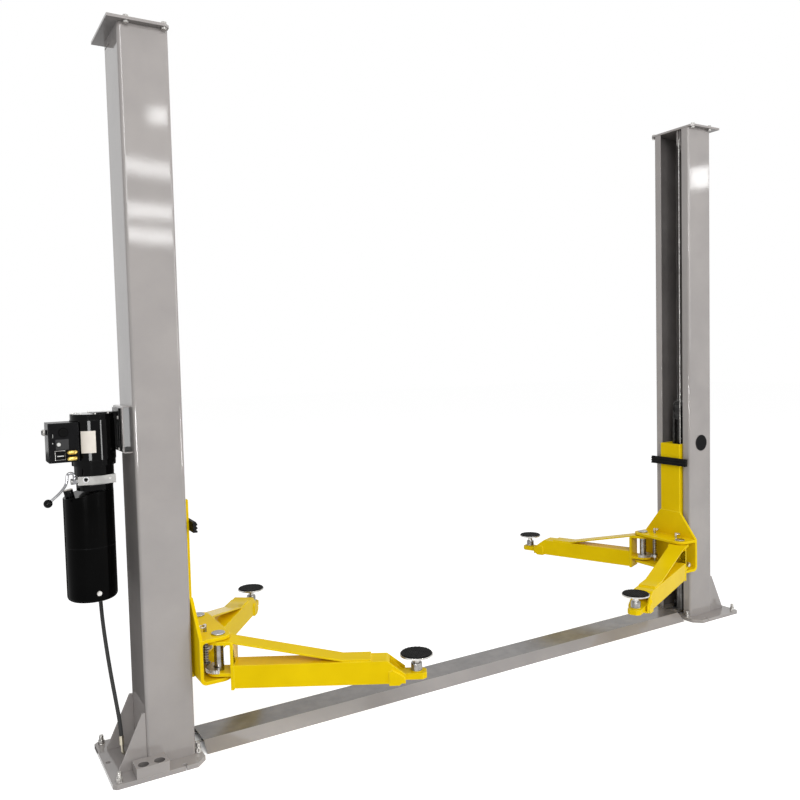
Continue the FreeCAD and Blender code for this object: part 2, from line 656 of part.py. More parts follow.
def top_plates():
    """Plates on the columns' tops, each with its narrower cover strip."""
    def make(side):
        body = new_body()
        edge = "(column_width / 2 + head_side)"
        outer = f"({BACK} - head_outer)"
        corners = [(outer, f"-{edge}"), (f"{FACE} - head_chamfer", f"-{edge}"),
                   (FACE, f"-{edge} + head_chamfer"), (FACE, f"{edge} - head_chamfer"),
                   (f"{FACE} - head_chamfer", edge), (outer, edge)]
        pad(body, outline(body, "XY_Plane", corners, "column_top"), "head_thick")
        holes = [(x, y, "head_bolt_radius + seat_gap") for x, y in head_bolt_places()]
        pocket(body, hole_marks(body, "XY_Plane", holes))
        cover = box("column_depth + head_outer - 2 * cap_inset", f"2 * {edge} - 2 * cap_inset",
                    "cap_thick", f"{outer} + cap_inset", f"-{edge} + cap_inset", HEAD_TOP)
        return [join([body, cover])]
    return on_both_sides(make)


def head_bolt_places():
    """Where the bolts through a top plate stand."""
    y = "(column_width / 2 + head_side - head_bolt_inset)"
    return [(f"{FACE} - head_bolt_inner {shift}", f"{sign}{y}")
            for sign in ("-", "") for shift in ("- head_bolt_pitch", "")]


def top_bolts():
    """Bolts through the overhang of the top plates, nuts below."""
    def make(side):
        bolts = []
        for x, y in head_bolt_places():
            low = "column_top - head_bolt_head"
            bolts.append(join([rod("head_bolt_radius", "head_thick + 2 * head_bolt_head", x, y, low),
                               nut("head_bolt_flats", "head_bolt_head", x, y, low),
                               nut("head_bolt_flats", "head_bolt_head", x, y, HEAD_TOP)]))
        return bolts
    return on_both_sides(make)


def floor_cover():
    """Bent sheet that covers the cables between the base plates."""
    body = new_body()
    slope = "atan(cover_height / (cover_width / 2 - cover_flat / 2))"
    foot = f"(cover_width / 2 - cover_sheet / sin({slope}))"
    ridge = f"(cover_flat / 2 - cover_sheet * tan({slope} / 2))"
    corners = [("-cover_width / 2", "0"), ("-cover_flat / 2", "cover_height"),
               ("cover_flat / 2", "cover_height"), ("cover_width / 2", "0"), (foot, "0"),
               (ridge, "cover_height - cover_sheet"), (f"-{ridge}", "cover_height - cover_sheet"),
               (f"-{foot}", "0")]
    pad(body, outline(body, "YZ_Plane", corners), "bay_clear - 2 * foot_inner - 2 * cover_end_gap",
        both_ways=True)
    return body


# Lift cylinders, sheaves and chains
def cylinders():
    """Barrels on square feet, open at the top for the rods."""
    def make(side):
        foot = box("cylinder_foot", "cylinder_foot", "cylinder_foot_thick",
                   f"{RAM_X} - cylinder_foot / 2", "-cylinder_foot / 2", "foot_thick")
        barrel = rod("barrel_radius", "barrel_top - foot_thick", RAM_X, "0", "foot_thick")
        gland = rod("gland_radius", "gland_height", RAM_X, "0", "barrel_top - gland_height")
        bore = rod("rod_radius + rod_clearance", "barrel_top", RAM_X, "0", "barrel_bottom")
        return [carve(join([foot, barrel, gland]), [bore])]
    return on_both_sides(make)


def lift_rod(side):
    """Piston rod with the yoke, the axle and the sheave at its top."""
    yoke_low = "(sheave_axis_z - yoke_drop)"
    half = "(sheave_width / 2 + yoke_gap + yoke_wall)"
    shaft = rod("rod_radius", f"{yoke_low} - rod_bottom", RAM_X, "0", "rod_bottom")
    foot = box(f"2 * {half}", "yoke_width", "yoke_foot", f"{RAM_X} - {half}", "-yoke_width / 2",
               yoke_low)
    plates = [box("yoke_wall", "yoke_width", "yoke_drop + axle_radius + yoke_over_axle", x, "-yoke_width / 2",
                  yoke_low) for x in (f"{RAM_X} - {half}", f"{RAM_X} + {half} - yoke_wall")]
    axle = rod("axle_radius", f"2 * {half}", f"{RAM_X} - {half}", "0", "sheave_axis_z", "X")
    flange = "(sheave_width / 2 - chain_width / 2 - chain_seat)"
    wheel = [rod("groove_radius", "sheave_width", f"{RAM_X} - sheave_width / 2", "0",
                 "sheave_axis_z", "X")]
    for x in (f"{RAM_X} - sheave_width / 2", f"{RAM_X} + sheave_width / 2 - {flange}"):
        wheel.append(rod("sheave_radius", flange, x, "0", "sheave_axis_z", "X"))
    return sided(join([shaft, foot, *plates, axle, *wheel]), side)


def chain(side):
    """Leaf chain over the sheave, both strands down into the carriage."""
    inner = "(groove_radius + chain_seat)"
    outer = f"({inner} + chain_height)"
    start = f"{RAM_X} - chain_width / 2"
    ring = carve(rod(outer, "chain_width", start, "0", "sheave_axis_z", "X"),
                 [rod(inner, "chain_width + 2", f"{start} - 1", "0", "sheave_axis_z", "X"),
                  box("chain_width + 2", f"2 * {outer} + 2", f"{outer} + 1", f"{start} - 1",
                      f"-{outer} - 1", f"sheave_axis_z - {outer} - 1")])
    strands = [box("chain_width", "chain_height", "sheave_axis_z - chain_low", start, y, "chain_low")
               for y in (inner, f"-{outer}")]
    return sided(join([ring, *strands]), side)


def sided(thing, side):
    """Leave a piece on the pump side or turn it to the far side."""
    if side == "right":
        thing.Placement = HALF_TURN
    return thing


# Equalizer cables and their pulleys
def cable_x():
    """Distance of a cable's drop from the middle of the bay."""
    return SIZE["bay_clear"] / 2 + SIZE["cable_from_face"]


def cable_route(sign):
    """Centre line of one cable: drop, top pulley, riser, floor, riser of the other side."""
    top = SIZE["top_wheel_radius"] + SIZE["cable_radius"]
    low = SIZE["floor_wheel_radius"] + SIZE["cable_radius"]
    drop = cable_x()
    riser = drop + 2 * top
    floor = SIZE["cable_floor"]
    y = sign * SIZE["cable_side"]
    high = SIZE["column_top"] - SIZE["top_wheel_drop"]

    def at(x, z):
        return FreeCAD.Vector(-sign * x, y, z)

    corner = math.sqrt(0.5)
    crown = Part.Arc(at(drop, high), at(drop + top, high + top), at(riser, high))
    near = Part.Arc(at(riser, floor + low), at(riser - low + low * corner, floor + low - low * corner),
                    at(riser - low, floor))
    far = Part.Arc(at(-riser + low, floor), at(-riser + low - low * corner, floor + low - low * corner),
                   at(-riser, floor + low))
    return [Part.LineSegment(at(drop, SIZE["cable_low_end"]), at(drop, high)), crown,
            Part.LineSegment(at(riser, high), at(riser, floor + low)), near,
            Part.LineSegment(at(riser - low, floor), at(-riser + low, floor)), far,
            Part.LineSegment(at(-riser, floor + low), at(-riser, SIZE["cable_high_end"]))]


def sweep(route, radius):
    """A round bar along a route of lines and arcs."""
    wire = Part.Wire([piece.toShape() for piece in route])
    start = route[0].value(route[0].FirstParameter)
    direction = route[0].tangent(route[0].FirstParameter)[0]
    section = Part.Wire([Part.Circle(start, direction, radius).toShape()])
    bar = wire.makePipeShell([section], True, True)
    return bar if bar.Volume > 0 else bar.reversed()


def lift_cables():
    """Two cables that keep the carriages level with each other."""
    held = DOC.addObject("Part::Feature", "Cables")
    held.Shape = Part.makeCompound([sweep(cable_route(sign), SIZE["cable_radius"])
                                    for sign in (-1, 1)])
    return held


def pulley(axis_x, axis_z, groove, side_y, extra):
    """A grooved wheel on an axle along Y, its middle at side_y."""
    low = f"({side_y} - wheel_width / 2)"
    rim = "((wheel_width - 2 * cable_radius) / 2 - chain_seat)"
    wheel = [rod(groove, "wheel_width", axis_x, low, axis_z, "Y")]
    for y in (low, f"{side_y} + wheel_width / 2 - {rim}"):
        wheel.append(rod(f"{groove} + wheel_flange", rim, axis_x, y, axis_z, "Y"))
    wheel.append(rod("wheel_axle_radius", f"wheel_width + 2 * {extra}", axis_x,
                     f"{low} - {extra}", axis_z, "Y"))
    return wheel


def top_pulleys():
    """Pulley and its two cheek plates under each top plate."""
    def make(side):
        drop = f"({FACE} - cable_from_face)"
        axis_x = f"({drop} - top_wheel_radius - cable_radius)"
        reach = "(top_wheel_radius + wheel_flange + cheek_overhang)"
        side_y = "cable_side"
        pieces = pulley(axis_x, WHEEL_Z, "top_wheel_radius", side_y, "cheek_gap + cheek_thick")
        half = "(wheel_width / 2 + cheek_gap)"
        for y in (f"{side_y} - {half} - cheek_thick", f"{side_y} + {half}"):
            body = new_body()
            low = "column_top - cheek_drop"
            bay_edge = f"{axis_x} + {reach} - cheek_trim"
            corners = [(f"{axis_x} - {reach}", "column_top"), (bay_edge, "column_top"),
                       (bay_edge, f"{low} + cheek_bay_slope"), (f"{axis_x} + cheek_tip_bay", low),
                       (f"{axis_x} - cheek_tip_back", low),
                       (f"{axis_x} - {reach}", f"{low} + cheek_back_slope")]
            pad(body, outline(body, "XZ_Plane", corners, f"-({y}) - cheek_thick"), "cheek_thick")
            pieces.append(body)
        return [join(pieces)]
    return on_both_sides(make)


def floor_pulleys():
    """Pulleys that turn the cables under the floor cover."""
    def make(side):
        pieces = []
        riser = f"({FACE} - cable_from_face - 2 * (top_wheel_radius + cable_radius))"
        axis_x = f"({riser} + floor_wheel_radius + cable_radius)"
        axis_z = "(cable_floor + floor_wheel_radius + cable_radius)"
        for sign in (1, -1):
            side_y = "cable_side" if sign > 0 else "-cable_side"
            wheel = pulley(axis_x, axis_z, "floor_wheel_radius", side_y, "cheek_gap")
            outer = "(wheel_width / 2 + cheek_gap)"
            start = f"{side_y} + {outer}" if sign > 0 else f"{side_y} - {outer} - cheek_thick"
            plate = box("floor_cheek_length", "cheek_thick", "floor_bracket_top - foot_thick",
                        f"{axis_x} - floor_cheek_length / 2", start, "foot_thick")
            pieces.append(join([*wheel, plate]))
        return pieces
    return on_both_sides(make)


# Carriages
def carriage(side):
    """Weldment of the tube in the column and the bracket that holds the arms."""
    half = "bracket_width / 2"
    inner = "bracket_plate"
    bracket = new_body()
    profile = [(WEB_X, "bracket_low"), (SHELF_X, "bracket_low"), (SHELF_X, f"bracket_low + {inner}"),
               (f"{WEB_X} + {inner}", f"bracket_low + {inner}"),
               (f"{WEB_X} + {inner}", f"{BRACKET_TOP} - {inner}"), (SHELF_X, f"{BRACKET_TOP} - {inner}"),
               (SHELF_X, BRACKET_TOP), (WEB_X, BRACKET_TOP)]
    pad(bracket, outline(bracket, "XZ_Plane", profile), "bracket_width", both_ways=True)
    web = -SIZE["bay_clear"] / 2 + SIZE["web_gap"]
    soften(bracket, "Fillet", lambda m, d, e: runs_along("y", d) and abs(m.x - web) < 0.01,
           "bracket_bend")
    soften(bracket, "Fillet", lambda m, d, e: runs_along("y", d)
           and abs(m.x - web - SIZE["bracket_plate"]) < 0.01, "bracket_bend - bracket_plate")
    tip = web + SIZE["bracket_reach"]
    soften(bracket, "Fillet", lambda m, d, e: runs_along("z", d) and abs(m.x - tip) < 0.01,
           "pin_inset - 0.01")
    marks = [(PIN_X, sign + PIN_Y, "pin_radius + pin_play") for sign in ("-", "")]
    marks += [(LOCK_X, sign + LOCK_Y, "lock_rod_radius + lock_play") for sign in ("-", "")]
    pocket(bracket, hole_marks(bracket, "XY_Plane", marks))
    shoulder = new_body()
    slope = [(f"-{half}", f"{BRACKET_TOP} - bracket_bend"), (half, f"{BRACKET_TOP} - bracket_bend"),
             (half, BRACKET_TOP), ("shoulder_flat / 2", "shoulder_top"),
             ("-shoulder_flat / 2", "shoulder_top"), (f"-{half}", BRACKET_TOP)]
    pad(shoulder, outline(shoulder, "YZ_Plane", slope, WEB_X), "bracket_plate")
    tube = new_body()
    back = f"({TUBE_X} - tube_depth)"
    legs = [(TUBE_X, "-tube_width / 2"), (TUBE_X, "tube_width / 2"), (back, "tube_width / 2"),
            (back, "tube_width / 2 - tube_wall"), (f"{TUBE_X} - tube_wall", "tube_width / 2 - tube_wall"),
            (f"{TUBE_X} - tube_wall", "-tube_width / 2 + tube_wall"),
            (back, "-tube_width / 2 + tube_wall"), (back, "-tube_width / 2")]
    pad(tube, outline(tube, "XY_Plane", legs, "bracket_low"), "tube_top - bracket_low")
    return sided(join([bracket, shoulder, tube]), side)


def sliders(side):
    """Blocks on the carriage tube that run between the column's lips and its sides."""
    front = f"({FACE} - column_wall - slider_gap)"
    back = f"{front} - slider_length"
    rim = SIZE["column_width"] / 2 - SIZE["column_wall"] - SIZE["slider_gap"]
    tip = -SIZE["bay_clear"] / 2 - SIZE["column_wall"] - SIZE["slider_gap"]
    blocks = []
    for z in ("slider_low", "slider_high"):
        for sign in ("", "-"):
            near = f"{sign}tube_width / 2"
            far = f"{sign}(column_width / 2 - column_wall - slider_gap)"
            block = new_body()
            pad(block, outline(block, "XY_Plane", [(back, near), (front, near), (front, far),
                                                   (back, far)], z), "slider_height")
            soften(block, "Fillet", lambda m, d, e: runs_along("z", d) and abs(m.x - tip) < 0.01
                   and abs(abs(m.y) - rim) < 0.01, "column_bend - column_wall")
            blocks.append(block)
    return sided(group(blocks), side)


def bumper(side):
    """Ribbed rubber strip that keeps a car door off the carriage."""
    body = new_body()
    front = f"({TUBE_X} + bumper_thick)"
    rib = "(bumper_height / 5)"
    profile = [(TUBE_X, "bumper_low"), (front, "bumper_low")]
    for step in range(1, 5):
        z = f"bumper_low + {step} * {rib}"
        groove = f"{front} - bumper_groove"
        profile += [(front, z), (groove, z)] if step % 2 else [(groove, z), (front, z)]
    profile += [(front, "bumper_low + bumper_height"), (TUBE_X, "bumper_low + bumper_height")]
    pad(body, outline(body, "XZ_Plane", profile), "bumper_width", both_ways=True)
    return sided(body, side)


def arm_pins(side):
    """Headed pins through the shelves and the ears of the arms."""
    pins = []
    for sign in ("-", ""):
        low = "(bracket_low - pin_below)"
        shaft = rod("pin_radius", f"{BRACKET_TOP} - {low}", PIN_X, sign + PIN_Y, low)
        head = rod("pin_head_radius", "pin_head", PIN_X, sign + PIN_Y, BRACKET_TOP)
        pins.append(join([shaft, head]))
    return sided(group(pins), side)


# Arm restraints
def gear_outline(first_angle, teeth, tip, root):
    """Corner points of a toothed sector: teeth from a first angle on, then its back edge."""
    pitch = SIZE["gear_tooth_angle"]
    points = []
    for tooth in range(teeth):
        start = first_angle + tooth * pitch
        for share, radius in ((0.0, root), (0.25, root), (0.4, tip), (0.6, tip), (0.75, root)):
            angle = math.radians(start + share * pitch)
            points.append((radius * math.cos(angle), radius * math.sin(angle)))
    end = math.radians(first_angle + teeth * pitch)
    points.append((root * math.cos(end), root * math.sin(end)))
    return points


def toothed_sector(middle_angle, teeth, tip, root, back):
    """Flat toothed sector about the origin, its back edge an arc of radius back."""
    pitch = SIZE["gear_tooth_angle"]
    first = middle_angle - teeth * pitch / 2
    points = [FreeCAD.Vector(x, y, 0) for x, y in gear_outline(first, teeth, tip, root)]
    edges = [Part.LineSegment(a, b).toShape() for a, b in zip(points, points[1:])]
    ends = [math.radians(first), math.radians(middle_angle), math.radians(first + teeth * pitch)]
    rim = [FreeCAD.Vector(back * math.cos(a), back * math.sin(a), 0) for a in ends]
    edges.append(Part.LineSegment(points[-1], rim[2]).toShape())
    edges.append(Part.Arc(rim[2], rim[1], rim[0]).toShape())
    edges.append(Part.LineSegment(rim[0], points[0]).toShape())
    return Part.Face(Part.Wire(edges))


def arm_gear(place):
    """Toothed sector on the arm's lower ear, about the arm pin."""
    held = DOC.addObject("Part::Feature", "Gear")
    tip = SIZE["gear_radius"]
    face = toothed_sector(180, SIZE["gear_teeth"], tip, tip - SIZE["gear_tooth"], SIZE["gear_bore"])
    held.Shape = face.extrude(FreeCAD.Vector(0, 0, SIZE["gear_thick"]))
    held.Placement.Rotation = place.rotation()
    return stand(held, place.pin_x, place.pin_y, f"{EAR_LOW} + ear_thick")


def restraint(place):
    """Sprung rod with its toothed block and pull ring."""
    gear_low = f"({EAR_LOW} + ear_thick)"
    shaft = rod("lock_rod_radius", "lock_high - lock_low", place.lock_x, place.lock_y, "lock_low")
    block = DOC.addObject("Part::Feature", "Block")
    inner = SIZE["gear_radius"] + SIZE["gear_air"]
    teeth = round(SIZE["lock_span"] / SIZE["gear_tooth_angle"])
    face = toothed_sector(place.lock_angle(), teeth, inner, inner + SIZE["gear_tooth"],
                          inner + SIZE["lock_block_thick"])
    block.Shape = face.extrude(FreeCAD.Vector(0, 0, SIZE["lock_block_height"]))
    stand(block, place.pin_x, place.pin_y, gear_low)
    ring = DOC.addObject("Part::Torus", "Ring")
    bind(ring, Radius1="ring_radius", Radius2="ring_wire")
    outwards = "-" if place.sign_x > 0 else "+"
    stand(ring, f"{place.lock_x} {outwards} ring_radius", place.lock_y, "lock_high - ring_drop")
    weld = join([shaft, block, ring])
    weld.Refine = False
    return weld


# Arms
class ArmPlace:
    """Where one arm stands: its pin, the way it points and its length."""

    def __init__(self, name, end, side):
        self.name = name
        self.end = end
        self.sign_x = 1 if side == "left" else -1
        self.sign_y = -1 if end == "front" else 1
        self.pin_x = PIN_X if side == "left" else f"(-{PIN_X})"
        self.pin_y = f"(-{PIN_Y})" if end == "front" else PIN_Y
        self.lock_x = LOCK_X if side == "left" else f"(-{LOCK_X})"
        self.lock_y = f"(-{LOCK_Y})" if end == "front" else LOCK_Y
        turn = SIZE[f"{end}_{side}_turn"]
        self.azimuth = turn if side == "left" else 180 + turn
        self.top_end = f"{end}_arm_top_end"
        self.reach = f"{end}_reach"

    def rotation(self):
        """The turn of the arm about its pin."""
        return FreeCAD.Rotation(UP, self.azimuth)

    def lock_angle(self):
        """Direction from the arm pin to its restraint rod."""
        offset = SIZE["lock_offset"]
        along = math.sqrt(SIZE["lock_from_pin"] ** 2 - offset ** 2)
        return math.degrees(math.atan2(-self.sign_y * along, -self.sign_x * offset))

    def seat(self, thing):
        """Stand a piece drawn along +X at the arm pin."""
        thing.Placement.Rotation = self.rotation()
        return stand(thing, self.pin_x, self.pin_y, "0")


PLACES = [ArmPlace(f"{end}_{side}", end, side) for side in ("left", "right")
          for end in ("front", "back")]


def arm_ears():
    """The bent clevis plate: upper ear and end plate, and the lower ear."""
    plate_in = "(arm_plate_out - arm_plate)"
    half = "arm_plate_width / 2"
    round_end = "pin_inset"
    clevis = new_body()
    profile = [("0", f"{EAR_TOP} - ear_thick"), (plate_in, f"{EAR_TOP} - ear_thick"),
               (plate_in, "arm_plate_low"), ("arm_plate_out", "arm_plate_low"),
               ("arm_plate_out", EAR_TOP), ("0", EAR_TOP)]
    pad(clevis, outline(clevis, "XZ_Plane", profile), f"2 * {half}", both_ways=True)
    outer = SIZE["arm_plate_out"]
    top = SIZE["bracket_low"] + SIZE["bracket_height"] - SIZE["bracket_plate"] - SIZE["ear_top_gap"]
    soften(clevis, "Fillet", lambda m, d, e: runs_along("y", d) and abs(m.x - outer) < 0.01
           and abs(m.z - top) < 0.01, "arm_bend")
    rounds = [rod(round_end, "ear_thick", "0", "0", z)
              for z in (f"{EAR_TOP} - ear_thick", EAR_LOW)]
    lower = box("arm_plate_out - 1", f"2 * {round_end}", "ear_thick", "0", f"-{round_end}", EAR_LOW)
    return [clevis, *rounds, lower]


def arm_box(place):
    """Box tube of the arm, its mouth cut on a slope."""
    body = new_body()
    top_end = place.top_end
    start = "(arm_plate_out - 1)"
    side = [(start, "arm_low"), (f"{top_end} + arm_mouth_run", "arm_low"),
            (f"{top_end} + arm_mouth_run", f"{ARM_TOP} - arm_mouth_drop"), (top_end, ARM_TOP),
            (start, ARM_TOP)]
    pad(body, outline(body, "XZ_Plane", side), "arm_width", both_ways=True)
    inside = "(arm_width / 2 - arm_wall)"
    hollow = [(f"-{inside}", "arm_low + arm_wall"), (inside, "arm_low + arm_wall"),
              (inside, f"{ARM_TOP} - arm_wall"), (f"-{inside}", f"{ARM_TOP} - arm_wall")]
    pocket(body, outline(body, "YZ_Plane", hollow, "arm_plate_out"), "bay_clear", reverse=True)
    return body


def arm_strap(place):
    """Brace from the upper ear down to the box, then flat on it."""
    body = new_body()
    end = f"({place.top_end} - strap_flat_back)"
    knee = f"({end} - strap_flat)"
    start = "(arm_plate_out - arm_bend)"
    side = [(start, EAR_TOP), (knee, f"{ARM_TOP} + strap_thick"), (end, f"{ARM_TOP} + strap_thick"),
            (end, ARM_TOP), (knee, ARM_TOP), (start, f"{EAR_TOP} - strap_thick")]
    pad(body, outline(body, "XZ_Plane", side), "strap_width", both_ways=True)
    return body


def arm_collar(place):
    """U shaped collar round the bottom of the mouth."""
    body = new_body()
    start = f"({place.top_end} + collar_start)"
    end = f"({start} + collar_length)"
    low = "(arm_low - collar_thick)"
    top = f"{low} + collar_height"
    side = [(start, low), (f"{end} - collar_nose", low), (end, f"{low} + collar_toe"),
            (end, f"{low} + collar_lip"), (f"{start} + collar_lean", top),
            (start, f"{top} - collar_back_drop")]
    pad(body, outline(body, "XZ_Plane", side), "arm_width + 2 * collar_thick", both_ways=True)
    inside = "(arm_width / 2 - 1)"
    hollow = [(f"-{inside}", "arm_low + 1"), (inside, "arm_low + 1"), (inside, ARM_TOP),
              (f"-{inside}", ARM_TOP)]
    pocket(body, outline(body, "YZ_Plane", hollow, place.top_end), "bay_clear", reverse=True)
    return body


def arm(place):
    """One arm, welded from its ears, box, brace and collar."""
    weld = join([*arm_ears(), arm_box(place), arm_strap(place), arm_collar(place)])
    bore = rod("pin_radius + pin_play", "bracket_height", "0", "0", "bracket_low")
    return place.seat(carve(weld, [bore]))


def extension(place):
    """Inner tube of the arm with its nose bar and screw sleeve."""
    tube = new_body()
    half = "(arm_width / 2 - arm_wall - slide_gap)"
    top = f"({ARM_TOP} - arm_wall - slide_gap)"
    inner = f"({place.reach} - slide_in_back)"
    end = f"({place.reach} - slide_tube_back)"
    side = [(inner, NOSE_LOW), (end, NOSE_LOW), (end, f"{NOSE_LOW} + nose_thick"),
            (f"{end} - slide_slope", top), (inner, top)]
    pad(tube, outline(tube, "XZ_Plane", side), f"2 * {half}", both_ways=True)
    hollow = [(f"-{half} + slide_wall", f"{NOSE_LOW} + slide_wall"),
              (f"{half} - slide_wall", f"{NOSE_LOW} + slide_wall"),
              (f"{half} - slide_wall", f"{top} - slide_wall"),
              (f"-{half} + slide_wall", f"{top} - slide_wall")]
    pocket(tube, outline(tube, "YZ_Plane", hollow, f"{inner} - 1"), "bay_clear", reverse=True)
    nose = new_body()
    tip = f"({place.reach} + nose_ahead)"
    wide = "nose_width / 2"
    bar = [(f"{place.reach} - nose_root", f"-{wide}"), (f"{tip} - nose_chamfer", f"-{wide}"),
           (tip, f"-{wide} + nose_chamfer"), (tip, f"{wide} - nose_chamfer"),
           (f"{tip} - nose_chamfer", wide), (f"{place.reach} - nose_root", wide)]
    pad(nose, outline(nose, "XY_Plane", bar, NOSE_LOW), "nose_thick")
    sleeve = rod("sleeve_radius", "nose_thick + sleeve_height", place.reach, "0", NOSE_LOW)
    bore = rod("screw_radius + screw_play", "arm_height", place.reach, "0", f"{NOSE_LOW} - 1")
    return place.seat(carve(join([tube, nose, sleeve]), [bore]))


def pad_screw(place):
    """Screw, boss and steel dish of a pad."""
    dish_low = "(pad_top - pad_rubber - pad_dish + pad_rim)"
    low = f"({NOSE_LOW} + screw_above)"
    shaft = rod("screw_radius", f"{dish_low} - {low}", place.reach, "0", low)
    boss = taper("pad_boss_radius", "pad_boss_radius + pad_boss_flare", "pad_boss", place.reach,
                 "0", f"{dish_low} - pad_boss")
    dish = rod("pad_radius", "pad_dish", place.reach, "0", dish_low)
    seat = rod("pad_radius - pad_rim", "pad_rim + 1", place.reach, "0", "pad_top - pad_rubber")
    return place.seat(carve(join([shaft, boss, dish]), [seat]))


def pad_rubber(place):
    """Round rubber of a pad in its dish."""
    return place.seat(group([rod("pad_radius - pad_rim - seat_gap", "pad_rubber", place.reach, "0",
                                 "pad_top - pad_rubber")]))


# Power unit
def pump_bracket():
    """U shaped plate on the column that carries the power unit."""
    body = new_body()
    out = f"({BACK} - pump_bracket_depth)"
    top = "(pump_bracket_low + pump_bracket_height)"
    wall = "pump_bracket_sheet"
    profile = [(BACK, "pump_bracket_low"), (out, "pump_bracket_low"), (out, top), (BACK, top),
               (BACK, f"{top} - {wall}"), (f"{out} + {wall}", f"{top} - {wall}"),
               (f"{out} + {wall}", f"pump_bracket_low + {wall}"), (BACK, f"pump_bracket_low + {wall}")]
    pad(body, outline(body, "XZ_Plane", profile), "pump_bracket_width", both_ways=True)
    edge = -SIZE["bay_clear"] / 2 - SIZE["column_depth"] - SIZE["pump_bracket_depth"]
    soften(body, "Fillet", lambda m, d, e: runs_along("y", d) and abs(m.x - edge) < 0.01,
           "pump_bracket_bend")
    return body


def motor():
    """Motor shell with stepped end caps, its foot plate and the pump flange."""
    inner = "motor_radius - motor_cap_step"
    shell = rod("motor_radius", "motor_top - motor_low - 2 * motor_cap", MOTOR_X, "0",
                "motor_low + motor_cap")
    caps = [rod(inner, "motor_cap", MOTOR_X, "0", "motor_low"),
            rod(inner, "motor_cap", MOTOR_X, "0", "motor_top - motor_cap")]
    flange = rod("pump_flange_radius", "motor_low - pump_flange_low", MOTOR_X, "0", "pump_flange_low")
    face = f"({BACK} - pump_bracket_depth)"
    plate = box("motor_foot_thick", "motor_foot_width", "pump_bracket_height - 2 * motor_foot_inset",
                f"{face} - motor_foot_thick", "-motor_foot_width / 2",
                "pump_bracket_low + motor_foot_inset")
    web = box(f"{face} - {MOTOR_X}", "motor_web_width", "pump_bracket_height - 2 * motor_web_inset",
              MOTOR_X, "-motor_web_width / 2", "pump_bracket_low + motor_web_inset")
    return join([shell, *caps, flange, plate, web])


def pump_block():
    """Aluminium block with the valves, and the neck above the tank."""
    block = box("block_length", "block_width", "pump_flange_low - block_low",
                f"{MOTOR_X} - block_length / 2", "-block_width / 2", "block_low")
    valve_x = f"({MOTOR_X} - block_length / 2)"
    middle = "(block_low + pump_flange_low) / 2"
    valve_y = "-lever_forward + lever_hub_width / 2 + seat_gap + valve_radius"
    valve = rod("valve_radius", "valve_length + 1", f"{valve_x} - valve_length", valve_y, middle, "X")
    neck = rod("neck_radius", "block_low - neck_low", MOTOR_X, "0", "neck_low")
    return join([block, valve, neck])


def oil_tank():
    """Round tank with a rounded lower edge, its top cut on a slope up to the neck."""
    body = new_body()
    pad(body, hole_marks(body, "XY_Plane", [(TANK_X, "0", "tank_radius")], "tank_low"),
        "neck_low - tank_low")
    start = f"{TANK_X} - tank_radius"
    end = f"{TANK_X} + tank_slope_end"
    slope = [(start, SHOULDER), (end, "neck_low"), (end, "neck_low + 1"),
             (f"{start} - 1", "neck_low + 1"), (f"{start} - 1", SHOULDER)]
    cut = pocket(body, outline(body, "XZ_Plane", slope))
    cut.Midplane = True
    low = SIZE["tank_low"]
    soften(body, "Fillet", lambda m, d, e: abs(m.z - low) < 0.01 and e.Closed, "tank_edge")
    return body


def filler_cap():
    """Cap on the tank's shoulder, tilted outwards."""
    cap = DOC.addObject("Part::Cylinder", "Cap")
    bind(cap, Radius="filler_radius", Height="filler_height")
    run = SIZE["tank_radius"] + SIZE["tank_slope_end"]
    tilt = -math.degrees(math.atan2(SIZE["tank_shoulder"], run))
    cap.Placement.Rotation = FreeCAD.Rotation(FreeCAD.Vector(0, 1, 0), tilt)
    grade = "tank_shoulder / (tank_radius + tank_slope_end)"
    return stand(cap, f"{TANK_X} - filler_from_axis", "filler_back",
                 f"{SHOULDER} + (tank_radius - filler_from_axis) * {grade} + seat_gap")


def switch_box():
    """Box with the motor's switch on the motor's outer side."""
    start = f"({MOTOR_X} - box_out)"
    shell = box("box_length", "box_width", "box_height", start, "-box_width / 2 - box_forward",
                "box_low")
    gland = rod("box_gland_radius", "box_gland_length", f"{start} - box_gland_length",
                "-box_forward", "box_low + box_gland_height", "X")
    hollow = rod("motor_radius", "motor_top", MOTOR_X, "0", "0")
    return carve(join([shell, gland]), [hollow])


# Hose and lever
HOSE_POINTS = [(-1738, 98, 1086), (-1738, 98, 990), (-1743, 105, 885), (-1744, 107, 775),
               (-1742, 99, 665), (-1740, 84, 560), (-1734, 61, 455), (-1726, 30, 345),
               (-1716, -2, 240), (-1710, -24, 170), (-1709, -31, 124)]
ELBOW_POINTS = [(-1708.3, -36.1, 90.4), (-1707.6, -40.6, 60.8), (-1694, -42, 51),
                (-1632.5, -42, 51)]


def cord_route(points):
    """Straight runs with tangent arcs, each arc as large as its two runs allow."""
    spots = [FreeCAD.Vector(*p) for p in points]
    pieces = []
    radii = []
    here = spots[0]
    for before, corner, after in zip(spots, spots[1:], spots[2:]):
        to_corner = (corner - before).normalize()
        from_corner = (after - corner).normalize()
        turn = to_corner.getAngle(from_corner)
        tangent = 0.45 * min((corner - before).Length, (after - corner).Length)
        radius = tangent / math.tan(turn / 2)
        start = corner - to_corner * tangent
        end = corner + from_corner * tangent
        bisector = (from_corner - to_corner).normalize()
        middle = corner + bisector * (radius / math.cos(turn / 2) - radius)
        pieces += [Part.LineSegment(here, start), Part.Arc(start, middle, end)]
        radii.append(round(radius))
        here = end
    pieces.append(Part.LineSegment(here, spots[-1]))
    return pieces, radii


